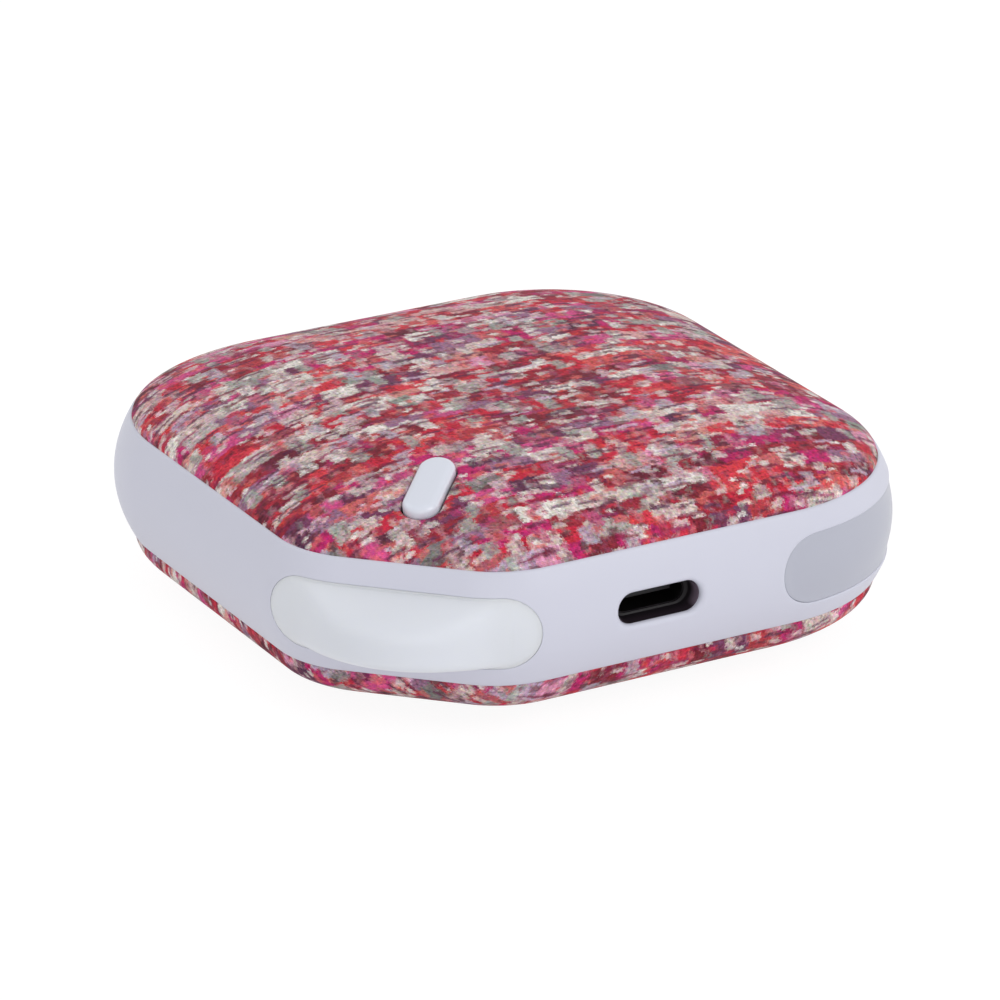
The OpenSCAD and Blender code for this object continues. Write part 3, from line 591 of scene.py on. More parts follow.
def make_by(rule, obj, values):
    """Runs a geometry rule on an object with some values, and keeps what it makes as its mesh."""
    step = obj.modifiers.new(rule.name, "NODES")
    step.node_group = rule
    for socket in rule.interface.items_tree:
        if socket.name in values:
            step[socket.identifier] = values[socket.name]
    bpy.context.view_layer.update()
    made = bpy.data.meshes.new_from_object(
        obj.evaluated_get(bpy.context.evaluated_depsgraph_get()))
    made.name = obj.name
    obj.modifiers.remove(step)
    obj.data = made


# Small parts that are many alike are one shape, set down at each of a list of places
repeat, into, out = node_group("set_at_places", [
    ("Places", "NodeSocketGeometry", None), ("Shape", "NodeSocketObject", None),
    ("Turn", "NodeSocketVector", None), ("Finish", "NodeSocketMaterial", None)], [
    ("Set", "NodeSocketGeometry")], "GeometryNodeTree")
repeat.is_modifier = True
spots = put(repeat, "GeometryNodeMeshToPoints", {"Mesh": into.outputs["Places"]})
shape = put(repeat, "GeometryNodeObjectInfo", {"Object": into.outputs["Shape"]})
turned = put(repeat, "FunctionNodeEulerToRotation", {0: into.outputs["Turn"]})
stood = put(repeat, "GeometryNodeInstanceOnPoints", {
    "Points": spots.outputs[0], "Instance": shape.outputs["Geometry"],
    "Rotation": turned.outputs[0]})
real = put(repeat, "GeometryNodeRealizeInstances", {0: stood.outputs[0]})
finished = put(repeat, "GeometryNodeSetMaterial", {
    "Geometry": real.outputs[0], "Material": into.outputs["Finish"]})
repeat.links.new(finished.outputs[0], out.inputs[0])


def set_down(name, shape_mesh, places, finish, turn=(0, 0, 0), sharp=35):
    """One piece of the housing: a small shape at every place, in millimetres, all turned alike."""
    shape_mesh.materials.append(finish)
    pattern = bpy.data.objects.new(name + "_shape", shape_mesh)
    bpy.context.scene.collection.objects.link(pattern)
    spots = bpy.data.meshes.new(name)
    spots.from_pydata((np.asarray(places, float)*0.001).tolist(), [], [])
    obj = bpy.data.objects.new(name, spots)
    bpy.context.scene.collection.objects.link(obj)
    make_by(repeat, obj, {"Shape": pattern, "Turn": turn, "Finish": finish})
    obj.data.polygons.foreach_set("use_smooth", np.ones(len(obj.data.polygons), bool))
    obj.data.set_sharp_from_angle(angle=np.radians(sharp))
    bpy.data.objects.remove(pattern)
    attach(obj, "housing")
    return obj


def block(size, edge):
    """A small block in millimetres with broken edges."""
    shape = bmesh.new()
    bmesh.ops.create_cube(shape, size=1.0)
    bmesh.ops.scale(shape, vec=[x*0.001 for x in size], verts=shape.verts)
    bmesh.ops.bevel(shape, geom=shape.edges, offset=edge*0.001, segments=1, affect="EDGES")
    bmesh.ops.recalc_face_normals(shape, faces=shape.faces)
    mesh = bpy.data.meshes.new("block")
    shape.to_mesh(mesh)
    shape.free()
    return mesh


dress(worked("dark_nickel", rgb(84, 80, 84), roughness=0.38, tarnish=0.2), "usb_shell")
dress(moulded("tongue_black", rgb(30, 28, 32), pitting=0.1, roughness=0.42), "usb_tongue")
contact_gold = worked("contact_gold", rgb(226, 186, 108), roughness=0.24, depth=0.1)
contact_places = [(port_x + 0.5*(k - 5.5), -30.9, port_z + side*0.36)
                  for k in range(12) for side in (-1, 1)]
set_down("usb_contacts", block((0.26, 3.2, 0.04), 0.01), contact_places, contact_gold)

# -------------------------------------------------------------------------------- level window
# A thin smoke-tinted window fills a shallow recess on the front right corner. Four light guides
# on one clear moulding stand behind it, over four small diodes on an upright board.


def stacked(rings, straight_steps, end_steps, flip=False):
    """Faces through a stack of pill rings, each end closed across the pill."""
    loops = loops_of(rings)
    top = straight_steps + 1
    side_points = end_steps - 1

    def across(loop):
        # the upper run against the lower one, then each round end against itself
        upper = list(loop[:top])
        left = list(loop[top:top + side_points])
        lower = list(loop[top + side_points:2*top + side_points])[::-1]
        right = list(loop[2*top + side_points:])
        quads = [(upper[a], upper[a + 1], lower[a + 1], lower[a]) for a in range(top - 1)]
        for chain in ([upper[-1]] + left + [lower[-1]], [lower[0]] + right + [upper[0]]):
            while len(chain) > 3:
                quads.append((chain[0], chain[1], chain[-2], chain[-1]))
                chain = chain[1:-1]
            if len(chain) == 3:
                quads.append(tuple(chain))
        return quads

    faces = walls(loops) + [f[::-1] for f in across(loops[0])] + across(loops[-1])
    return [f[::-1] for f in faces] if flip else faces


window_line = 12.45
window_q, window_facing = pill_loop(90, 28)


def window_ring(radius, depth):
    """A ring of the window, at a depth under the band's face."""
    s = window_q*window_line + window_facing[:, 0]*radius
    z = mid_z + window_facing[:, 1]*radius
    return level_corner.place(s, z, swell(z) - depth)


window_rings = [window_ring(r, d) for r, d in (
    (0.1, 1.25), (1.5, 1.25), (3.0, 1.25), (3.98, 1.25), (3.98, 0.7), (3.98, 0.16),
    (3.94, 0.145), (3.85, 0.155), (3.72, 0.18), (3.58, 0.215), (3.42, 0.255), (3.25, 0.29),
    (3.05, 0.32), (2.8, 0.34), (2.4, 0.35), (1.6, 0.35), (0.8, 0.35), (0.1, 0.35))]
window_plastic = moulded("window_smoke", rgb(180, 182, 195), grain=9000.0, pitting=0.08,
                         clouding=0.02, roughness=0.34, Specular_IOR_Level=0.45)
window = piece("window_face", np.vstack(window_rings), stacked(window_rings, 90, 28),
               window_plastic)
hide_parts("level_window")

clear_acrylic, tree, shader = finish_of(
    "guide_acrylic", Transmission_Weight=1.0, IOR=1.49, Base_Color=rgb(246, 249, 252))
made = put(tree, "ShaderNodeGroup", {"Grain": 3000.0, "Pitting": 0.02, "Roughness": 0.08},
           node_tree=moulding).outputs
feed(tree, shader, Roughness=made["Roughness"], Normal=made["Normal"])
dress(clear_acrylic, "level_light_guides")

# Circuit board: green mask over etched copper, which runs one way in each patch of the board
board_mask, into, out = node_group("board_mask", [
    ("Along", "NodeSocketVector", None), ("Up", "NodeSocketVector", None)], surface_outputs)
place = put(board_mask, "ShaderNodeTexCoord").outputs["Object"]
u, v = (maths(board_mask, "MULTIPLY", put(board_mask, "ShaderNodeVectorMath", {
    0: place, 1: into.outputs[key]}, operation="DOT_PRODUCT").outputs["Value"], 1000.0)
    for key in ("Along", "Up"))
patch = put(board_mask, "ShaderNodeTexVoronoi", {"Vector": put(
    board_mask, "ShaderNodeCombineXYZ", {0: u, 1: v}).outputs[0], "Scale": 0.42,
    "Randomness": 0.9}, voronoi_dimensions="2D", distance="CHEBYCHEV")
patch_chance = put(board_mask, "ShaderNodeSeparateColor", {0: patch.outputs["Color"]}).outputs
track_u, track_v = (maths(board_mask, "LESS_THAN", maths(
    board_mask, "PINGPONG", maths(board_mask, "MULTIPLY", w, 1/0.46), 0.5), 0.2) for w in (u, v))
one_way = maths(board_mask, "GREATER_THAN", patch_chance[0], 0.5)
tracks = maths(board_mask, "MULTIPLY_ADD", track_u, one_way, maths(
    board_mask, "MULTIPLY", track_v, maths(board_mask, "SUBTRACT", 1.0, one_way)))
copper = maths(board_mask, "MAXIMUM", tracks, maths(
    board_mask, "GREATER_THAN", patch_chance[1], 0.62))
fleck = noise(board_mask, place, 6000.0).outputs[0]
mask_colour = put(board_mask, "ShaderNodeHueSaturation", {
    "Value": maths(board_mask, "MULTIPLY_ADD", fleck, 0.2, 0.9), "Color": mix_colours(
        board_mask, copper, rgb(14, 62, 38), rgb(30, 98, 56))}).outputs[0]
step = put(board_mask, "ShaderNodeBump", {
    "Strength": 0.4, "Distance": 0.00003, "Height": copper})
feed(board_mask, out, Colour=mask_colour, Normal=step.outputs[0], Roughness=maths(
    board_mask, "MULTIPLY_ADD", fleck, 0.1, 0.26))


def board_finish(name, along, up):
    """The mask of a board whose face lies along two directions."""
    material, tree, shader = finish_of(name, Coat_Weight=0.3, Coat_Roughness=0.2)
    surfaced(tree, shader, board_mask, Along=along, Up=up)
    return material


def resin_dot(diameter, height, sides=20, bands=12):
    """A low round dot of resin, standing along Z."""
    turn = np.arange(sides)*2*np.pi/sides
    rings = [np.stack([np.cos(turn)*np.sin(tip)*diameter/2, np.sin(turn)*np.sin(tip)*diameter/2,
                       np.full(sides, np.cos(tip)*height)], 1)
             for tip in np.arange(1, bands)*np.pi/bands]
    points = np.vstack([*rings, [[0, 0, height], [0, 0, -height]]])
    loops = loops_of(rings)
    faces = walls(loops, flip=True)
    for tip, around in ((len(points) - 2, loops[0]), (len(points) - 1, loops[-1][::-1])):
        faces += [np.array([tip, a, b]) for a, b in zip(around, np.roll(around, -1))]
    mesh = bpy.data.meshes.new("resin_dot")
    mesh.from_pydata((points*0.001).tolist(), [], [f.tolist() for f in faces])
    return mesh


phosphor = moulded("phosphor", rgb(238, 214, 120), grain=20000.0, pitting=0.1, clouding=0.15,
                   roughness=0.2, Coat_Weight=0.6, Coat_Roughness=0.05)
diode_case = moulded("diode_case", rgb(228, 226, 218), grain=15000.0, pitting=0.08,
                     roughness=0.38)
dress(diode_case, "level_diodes", "lamp_diodes")
dress(board_finish("level_board_mask", (diag, diag, 0), (0, 0, 1)), "level_board")
level_face, level_pitch = level_corner.reach - 6.5, 4.4
level_places = [np.append(level_corner.along*(k - 1.5)*level_pitch
                          + level_corner.out*level_face, mid_z) for k in range(4)]
set_down("level_phosphor", resin_dot(1.2, 0.12), level_places, phosphor,
         turn=(np.pi/2, 0, np.pi/4))

# -------------------------------------------------------------------------------- corner lamp
# The lamp's lens is a milky silicone-like moulding, pressed into a pocket across the cut corner.
# Its flange lies flush; its middle swells out in one smooth bolster, rounder at both ends.
lens_q, lens_facing = pill_loop(120, 32)
lens_line, foot_line, foot_r, foot_reach = 10.75, 4.85, 2.65, 35.2
bolster_r, bolster_reach, bolster_shift, bolster_drop, bolster_edge = 12.2, 44.7, -0.2, 0.5, 3.74


def lens_ring(radius, depth=0.0, line=lens_line, swollen=True):
    """A ring of the lens; inside its edge the bolster stands out, most along the middle."""
    fullness = 4.3 - 1.3*lens_facing[:, 1]
    profile = np.clip(1 - (radius/bolster_edge)**fullness, 0, None)
    s = lens_q*line + lens_facing[:, 0]*radius
    z = mid_z + lens_facing[:, 1]*radius - bolster_drop*profile*swollen
    flush = lamp_corner.place(s, z, swell(z) - depth)
    out = flush[:, :2] @ lamp_corner.out
    disc = bolster_reach - bolster_r + np.sqrt(
        np.clip(bolster_r**2 - (s - bolster_shift)**2, 0, None)) - out
    stand = 0.5*(disc + np.sqrt(disc**2 + 1.6**2))*profile
    if swollen:
        flush[:, :2] += stand[:, None]*lamp_corner.out
    return flush


lens_rings = [lens_ring(r) for r in (*np.linspace(0.1, bolster_edge, 44), 3.8, 3.92)]
lens_rings += [lens_ring(3.92 + 0.06*np.sin(a), 0.06*(1 - np.cos(a)))
               for a in np.radians([30, 60, 90])]
lens_rings += [lens_ring(3.98, 0.7), lens_ring(3.98, 1.1), lens_ring(3.3, 1.1, 8.0, False),
               lens_ring(foot_r, 1.1, foot_line, False)]
for radius in (foot_r, 1.3, 0.1):
    s = lens_q*foot_line + lens_facing[:, 0]*radius
    z = mid_z + lens_facing[:, 1]*radius
    plan = s[:, None]*lamp_corner.along + foot_reach*lamp_corner.out
    lens_rings.append(np.hstack([plan, z[:, None]]))
lens_silicone = moulded("milky_silicone", rgb(222, 225, 232), grain=5000.0, pitting=0.05,
                        clouding=0.03, roughness=0.36, Subsurface_Weight=0.55,
                        Subsurface_Scale=0.0016, Subsurface_Radius=(1.0, 1.0, 1.1),
                        Specular_IOR_Level=0.42)
lens = piece("lens_bolster", np.vstack(lens_rings), stacked(lens_rings, 120, 32, flip=True),
             lens_silicone)
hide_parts("lamp_lens")

dress(board_finish("lamp_board_mask", (diag, -diag, 0), (0, 0, 1)), "lamp_board")
lamp_face, lamp_pitch = 35.0, 5
lamp_places = [np.append(lamp_corner.along*(k - 1)*lamp_pitch + lamp_corner.out*lamp_face, mid_z)
               for k in range(3)]
set_down("lamp_phosphor", resin_dot(2.2, 0.14), lamp_places, phosphor,
         turn=(np.pi/2, 0, -np.pi/4))

# -------------------------------------------------------------------------------- push button
# The push button is a glossy translucent pill that slides in the top cover on its own tilt.
# A flange under the cover keeps it in, and its stem stands on the switch.
crown_h, crown_reach, fabric_tuck, fabric_t = 6.4, 22.4, 0.15, 0.7
top_fullness, bottom_fullness = 1.7, 2.35


def dome_height(inset, fullness, tuck=0.0):
    """How high a dome is above its rim at an inset from the rim line, in millimetres."""
    u = np.clip((inset - tuck)/(crown_reach - tuck), 0, 1)
    return crown_h*(1 - (1 - u)**fullness)**(1/fullness)


# The button stands square to the dome, 9.8 mm in from the cut corner
button_inset = 9.8
button_n = cut_reach - button_inset
rise_near, button_rise, rise_far = (
    dome_height(half*(button_inset + d)/cut_reach, top_fullness) for d in (-5, 0, 5))
tilt = np.arctan2(rise_far - rise_near, 10)
button_origin = np.array([-button_n*diag, -button_n*diag, high_z + button_rise])
button_axes = np.array([[-np.cos(tilt)*diag, -np.cos(tilt)*diag, -np.sin(tilt)],
                        [diag, -diag, 0],
                        [-np.sin(tilt)*diag, -np.sin(tilt)*diag, np.cos(tilt)]])
button_q, button_facing = pill_loop(30, 28)


def button_ring(length, width, height):
    """A pill ring on the button's own axis."""
    line, radius = (length - width)/2, width/2
    local = np.stack([button_q*line + button_facing[:, 0]*radius, button_facing[:, 1]*radius,
                      np.full(len(button_q), height)], 1)
    return button_origin + local @ button_axes


cap_length, cap_width, cap_round, cap_height = 10.1, 3.95, 2.2, 0.78
button_rings = [button_ring(*ring) for ring in (
    (6.2, 0.1, 0.8), (7.0, 0.9, 0.798), (7.6, 1.5, 0.79))]
for a in np.radians(np.arange(0, 91, 10)):
    drawn_in = cap_round*(1 - np.sin(a))
    button_rings.append(button_ring(cap_length - drawn_in, cap_width - drawn_in,
                                    cap_height*np.cos(a)**0.75))
# The sides, the flange under the cover, and the stem
button_rings += [button_ring(*ring) for ring in (
    (cap_length, cap_width, -0.6), (cap_length, cap_width, -2.0), (cap_length, cap_width, -2.8),
    (11.4, 5.8, -2.8), (11.4, 5.8, -3.8), (2.61, 2.6, -3.8), (2.61, 2.6, -4.5),
    (1.01, 1.0, -4.5))]
button_plastic = moulded("button_gloss", rgb(220, 224, 236), grain=7000.0, pitting=0.05,
                         clouding=0.02, roughness=0.26, Specular_IOR_Level=0.5,
                         Coat_Weight=0.2, Coat_Roughness=0.15)
button = piece("button_cap", np.vstack(button_rings), stacked(button_rings, 30, 28, flip=True),
               button_plastic, body="button")
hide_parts("power_button")

switch_black = moulded("switch_black", rgb(38, 37, 40), grain=9000.0, pitting=0.15,
                       roughness=0.5)
dress(switch_black, "switch_body", "switch_plunger")
dress(board_finish("switch_board_mask", tuple(button_axes[0]), tuple(button_axes[1])),
      "switch_board")

# -------------------------------------------------------------------------------- inner tray
# A pale moulded tray carries the cell and the main board, and is screwed up into the band's
# lugs. All six screws are small zinc-plated pan heads with a hexagon socket, cut from wire.
tray_plastic = moulded("tray_grey", rgb(216, 217, 219), grain=5000.0, pitting=0.25,
                       clouding=0.06, roughness=0.5)
dress(tray_plastic, "inner_tray")


def screw_mesh(length, sides=24, pitch=0.6):
    """A pan-head screw in millimetres, its head above the origin and its thread below it."""
    angle = np.arange(sides)*2*np.pi/sides
    socket = 0.6/np.cos(np.mod(angle, np.pi/3) - np.pi/6)
    profile = [(0.02, 0.5), (socket, 0.5), (socket, 0.98), (socket + 0.05, 1.0), (1.2, 0.99),
               (1.55, 0.9), (1.74, 0.68), (1.8, 0.4), (1.8, 0.04), (1.76, 0.0)]
    for down in np.arange(0, length - 0.25, pitch/6):
        phase = np.mod(down/pitch - angle/(2*np.pi), 1)
        fade = min(1.0, down/0.5, (length - down)/0.6)
        profile.append((0.72 + 0.18*(1 - np.abs(2*phase - 1))*fade, -down))
    profile += [(0.6, -length + 0.12), (0.4, -length), (0.02, -length)]
    rings = [np.stack([r*np.cos(angle), r*np.sin(angle), np.full(sides, z)], 1)
             for r, z in profile]
    loops = loops_of(rings)
    faces = walls(loops, flip=True) + [loops[0], loops[-1][::-1]]
    mesh = bpy.data.meshes.new("screw")
    mesh.from_pydata((np.vstack(rings)*0.001).tolist(), [], [f.tolist() for f in faces])
    return mesh


zinc_steel = worked("zinc_steel", rgb(200, 202, 206), lines=(3000.0, 3000.0, 9000.0),
                    depth=0.25, tarnish=0.15, roughness=0.3)
tray_screws = set_down("tray_screw_set", screw_mesh(4.2), [
    (x, y, 7.4) for x in (-29.0, 29.0) for y in (-9, 17)], zinc_steel,
    turn=(np.pi, 0, 0))
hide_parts("tray_screws")
board_screws = set_down("board_screw_set", screw_mesh(2.62), [
    (-12.6, -20.4, 11.52), (10.6, -20.4, 11.52)], zinc_steel)
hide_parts("board_screws")

# -------------------------------------------------------------------------------- main board
# The main board is green glass laminate, held on two posts of the tray. It carries the charging
# and heating circuits: three chips, a power inductor, four capacitors and three wire sockets.
dress(board_finish("main_board_mask", (1, 0, 0), (0, 1, 0)), "main_board")
chip_epoxy = moulded("chip_epoxy", rgb(40, 40, 43), grain=20000.0, pitting=0.3, clouding=0.08,
                     roughness=0.55)
dress(chip_epoxy, "control_chips")
tin = worked("tinned_copper", rgb(206, 206, 204), lines=(6000.0, 6000.0, 6000.0), roughness=0.26)
chips = ((6, -28, 4, 4), (10.6, -28, 3, 3), (8.5, -24, 3, 2.4))
leg_pitch, leg_reach, leg_z = 0.5, 0.12, 11.6


def leg_row(side_length):
    """Where the legs stand along one side of a chip, from the side's middle."""
    legs = int(side_length/leg_pitch) - 1
    return (np.arange(legs) - (legs - 1)/2)*leg_pitch


across_places = [(x + side*(w/2 + leg_reach), y + leg, leg_z)
                 for x, y, w, h in chips for leg in leg_row(h) for side in (-1, 1)]
set_down("chip_legs_across", block((0.44, 0.24, 0.14), 0.03), across_places, tin)
along_places = [(x + leg, y + side*(h/2 + leg_reach), leg_z)
                for x, y, w, h in chips[:2] for leg in leg_row(w) for side in (-1, 1)]
set_down("chip_legs_along", block((0.24, 0.44, 0.14), 0.03), along_places, tin)
dress(moulded("pressed_ferrite", rgb(74, 73, 76), grain=14000.0, pitting=0.5, clouding=0.2,
              roughness=0.6), "power_inductor")

# Capacitors: fired ceramic between two tinned ends
fired, tree, shader = finish_of("fired_ceramic", Specular_IOR_Level=0.5)
made = surfaced(tree, shader, moulding, Colour=rgb(176, 150, 112), Grain=16000.0, Pitting=0.2,
                Clouding=0.2, Roughness=0.42)
tinned = maths(tree, "GREATER_THAN", maths(tree, "ABSOLUTE", maths(
    tree, "ADD", place_on(tree)[1], 0.0243)), 0.0005)
feed(tree, shader, Metallic=tinned, Base_Color=mix_colours(
    tree, tinned, made["Colour"], rgb(206, 205, 202)))
dress(fired, "capacitors")

socket_ivory = moulded("socket_ivory", rgb(234, 228, 208), grain=9000.0, pitting=0.12,
                       roughness=0.42)
dress(socket_ivory, "battery_socket", "heater_sockets")
set_down("heater_socket_pins", block((0.4, 0.4, 1.1), 0.06), [
    (x, -20.8, 13.05) for x in (-1.3, 0.1, 3.5, 4.9)], tin)

# ------------------------------------------------------------------------------------ battery
# The cell is a lithium pouch in laminated foil, with its protection board on its front edge.
# Two silicone-covered leads, one red and one black, go from that board to the main board.
cell_foil, tree, shader = finish_of("laminated_foil", Metallic=0.85)
place = put(tree, "ShaderNodeTexCoord").outputs["Object"]
made = surfaced(tree, shader, metal_work, Colour=rgb(196, 201, 210),
                Lines=(2500.0, 2500.0, 2500.0), Depth=0.1, Tarnish=0.08, Roughness=0.36)
creases = put(tree, "ShaderNodeTexVoronoi", {
    "Vector": noise(tree, place, 60.0, 2.0).outputs["Color"], "Scale": 9.0},
    feature="DISTANCE_TO_EDGE")
crinkle = put(tree, "ShaderNodeBump", {
    "Strength": 0.35, "Distance": 0.0002, "Height": creases.outputs[0],
    "Normal": made["Normal"]})
feed(tree, shader, Normal=crinkle.outputs[0])
dress(cell_foil, "battery_cell")
dress(board_finish("protection_board_mask", (1, 0, 0), (0, 0, 1)), "protection_board")

# Each lead is a tube on a slack path between its two ends, bared where it is soldered
lead_rings, lead_faces = [], []
turn = np.arange(18)*2*np.pi/18
around = np.stack([np.cos(turn), 0*turn, np.sin(turn)], 1)
way = np.linspace(0, 1, 25)
for number, lead_x in enumerate((-7.4, -5.8)):
    centre = np.stack([lead_x + 0.16*np.sin(2*np.pi*way + number), -19.0 + 7.0*way,
                       13.12 + 0.22*np.sin(np.pi*way)*(1 if number else -1)], 1)
    centre[0, 0] = centre[-1, 0] = lead_x
    lead_rings += [point + (0.55 if k < 23 else 0.35)*around for k, point in enumerate(centre)]
    loops = loops_of(lead_rings)[-len(centre):]
    lead_faces += walls(loops, flip=True) + [loops[0], loops[-1][::-1]]
insulation, tree, shader = finish_of("silicone_insulation", Specular_IOR_Level=0.4)
surfaced(tree, shader, moulding, Grain=5000.0, Pitting=0.1, Clouding=0.1, Roughness=0.38,
         Colour=mix_colours(tree, maths(tree, "GREATER_THAN", place_on(tree)[0], -0.0066),
                            rgb(188, 36, 34), rgb(34, 32, 34)))
leads = piece("battery_lead_pair", np.vstack(lead_rings), lead_faces, insulation)
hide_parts("battery_leads")

# ---------------------------------------------------------------------------- heating layers
# Under each dome an aluminium plate spreads the heat of an amber film heater stuck to its back.
# A pad of open-cell foam presses each heater outwards, and a thermistor sits in the pad's hole.
rolled = worked("rolled_aluminium", rgb(214, 216, 220), lines=(300.0, 14000.0, 14000.0),
                depth=0.25, tarnish=0.06, roughness=0.36)
dress(rolled, "top_heat_plate", "bottom_heat_plate")

amber, tree, shader = finish_of("amber_film", Coat_Weight=0.5, Coat_Roughness=0.12,
                                Specular_IOR_Level=0.5)
place = place_on(tree)
lane = maths(tree, "MULTIPLY", place[0], 1000/2.4)
lane_off = maths(tree, "ABSOLUTE", maths(tree, "SUBTRACT", maths(tree, "FRACT", lane), 0.5))
in_lane = maths(tree, "MULTIPLY", maths(tree, "LESS_THAN", lane_off, 0.28), maths(
    tree, "LESS_THAN", maths(tree, "ABSOLUTE", place[1]), 0.0205))
gap_number = maths(tree, "FLOOR", maths(tree, "ADD", lane, 0.5))
even = maths(tree, "LESS_THAN", maths(tree, "PINGPONG", gap_number, 1.0), 0.5)
wanted_side = maths(tree, "MULTIPLY_ADD", even, 2.0, -1.0)
bend_off = maths(tree, "ABSOLUTE", maths(tree, "SUBTRACT", maths(
    tree, "MULTIPLY", place[1], wanted_side), 0.0198))
track = maths(tree, "MAXIMUM", in_lane, maths(tree, "LESS_THAN", bend_off, 0.0007))
track = maths(tree, "MULTIPLY", track, maths(tree, "LESS_THAN", maths(
    tree, "ABSOLUTE", place[0]), 0.0216))
made = surfaced(tree, shader, moulding, Grain=2600.0, Pitting=0.15, Clouding=0.12,
                Roughness=0.28, Colour=mix_colours(
                    tree, track, rgb(206, 128, 34), rgb(150, 76, 30)))
etched = put(tree, "ShaderNodeBump", {"Strength": 0.5, "Distance": 0.00003, "Height": track,
                                      "Normal": made["Normal"]})
feed(tree, shader, Normal=etched.outputs[0])
dress(amber, "top_heater_film", "bottom_heater_film")
dress(moulded("bead_resin", rgb(54, 50, 46), grain=12000.0, pitting=0.2, clouding=0.15,
              roughness=0.3), "thermistors")

open_cell, tree, shader = finish_of("open_cell_foam", Specular_IOR_Level=0.2)
place = put(tree, "ShaderNodeTexCoord").outputs["Object"]
pores = [put(tree, "ShaderNodeTexVoronoi", {"Vector": place, "Scale": scale}).outputs[0]
         for scale in (1500.0, 3400.0)]
depth = maths(tree, "MULTIPLY_ADD", pores[1], 0.4, pores[0])
# Painted shade: the colour goes darker in each pore's hollow and lighter on the struts between,
# following the same pores as the bump
feed(tree, shader, Base_Color=mix_colours(tree, depth, rgb(34, 34, 37), rgb(92, 92, 97)),
     Roughness=maths(tree, "MULTIPLY_ADD", noise(tree, place, 300.0).outputs[0], 0.2, 0.8),
     Normal=put(tree, "ShaderNodeBump", {"Strength": 0.9, "Distance": 0.00025,
                                         "Height": depth}).outputs[0])
foam_outline = np.vstack([
    straight((-9, -12), (9, -12), 18), bend((9, -9), 3, -90, 90, 10),
    straight((12, -9), (12, 9), 18), bend((9, 9), 3, 0, 90, 10),
    straight((9, 12), (-9, 12), 18), bend((-9, 9), 3, 90, 90, 10),
    straight((-12, 9), (-12, -9), 18), bend((-9, -9), 3, 180, 90, 10)])


def foam_pad(name, low, high, node):
    """A die-cut pad, squeezed between its neighbours so that its sides belly out a little."""
    outline = foam_outline[:, :2]
    around = np.arctan2(outline[:, 1], outline[:, 0])
    pull = 0.22*np.cos(2*around)**2
    hole = 1.7*np.stack([np.cos(around), np.sin(around)], 1)
    profile = [(0.9, 0.0), (0.42, 0.0), (0.24, 0.05), (0.14, 0.16), (0.06, 0.34), (0.0, 0.5),
               (0.06, 0.66), (0.14, 0.84), (0.24, 0.95), (0.42, 1.0), (0.9, 1.0)]
    sides = [(outline - foam_outline[:, 2:]*(inset + pull[:, None]*(1 - 4*(t - 0.5)**2)*0.5), t)
             for inset, t in profile]
    crown = [(outline*(1 - s) + hole*s, 1.0) for s in (0.3, 0.55, 0.8)]
    bore = [(hole*1.12, 1.0), (hole*1.03, 0.95), (hole, 0.8), (hole, 0.2), (hole*1.03, 0.05),
            (hole*1.12, 0.0)]
    floor = [(outline*(1 - s) + hole*s, 0.0) for s in (0.8, 0.55, 0.3)]
    rings = [np.hstack([plan, np.full((len(plan), 1), low + (high - low)*t)])
             for plan, t in sides + crown + bore + floor]
    pad = piece(name, np.vstack(rings), walls(loops_of(rings), round_again=True), open_cell,
                sharp=0)
    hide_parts(node)


foam_pad("top_foam", 19.55, 22.55, "top_foam_pad")
foam_pad("bottom_foam", 3.15, 7.35, "bottom_foam_pad")

# ------------------------------------------------------------------------------------- covers
# Two shallow moulded domes hold the heat plates and fit into the band's rims under the cloth.
# The upper one is pierced for the button. Both are plain white plastic, as nobody sees them.
cover_white = moulded("cover_white", rgb(224, 224, 227), grain=4000.0, pitting=0.2,
                      clouding=0.05, roughness=0.48)
dress(cover_white, "top_cover", "bottom_cover")

# ------------------------------------------------------------------------------ printed cloth
# Both domes are covered with a thin knit, foam-backed, bonded to the covers and stretched over
# them. It carries a print of coarse woven yarn, and its edge is tucked behind the band's lip.


def rim_line(side_steps, corner_steps, bend_steps, cut_steps):
    """The rim line again, with as many steps as are asked on each kind of its runs."""
    return np.vstack([
        straight((-cut_m, -half), (corner_k, -half), side_steps),
        bend((corner_k, -corner_k), corner_r, -90, 90, corner_steps),
        straight((half, -corner_k), (half, corner_k), side_steps),
        bend((corner_k, corner_k), corner_r, 0, 90, corner_steps),
        straight((corner_k, half), (-corner_k, half), side_steps),
        bend((-corner_k, corner_k), corner_r, 90, 90, corner_steps),
        straight((-half, corner_k), (-half, -cut_m), side_steps),
        bend((-cut_k, -cut_m), cut_r, 180, 45, bend_steps),
        straight(cut_end[::-1], cut_end, cut_steps),
        bend((-cut_m, -cut_k), cut_r, 225, 45, bend_steps)])[:, :2]


fine_rim = rim_line(1500, 1500, 1000, 800)
gauge_turn = np.arctan2(fine_rim[:, 1], fine_rim[:, 0])
gauge_order = np.argsort(gauge_turn)
gauge_turn, gauge_reach = gauge_turn[gauge_order], np.hypot(*fine_rim.T)[gauge_order]


def gauge(plan):
    """How large a copy of the rim line passes through a point, 1 for the rim line itself."""
    turn = np.arctan2(plan[:, 1], plan[:, 0])
    return np.hypot(*plan.T)/np.interp(turn, gauge_turn, gauge_reach, period=2*np.pi)


cloth_sides, cloth_corners, cloth_bends, cloth_cut = 34, 36, 16, 38
cloth_rim = rim_line(cloth_sides, cloth_corners, cloth_bends, cloth_cut)
cloth_columns = len(cloth_rim)
flat_start = cloth_sides*4 + cloth_corners*3 + cloth_bends


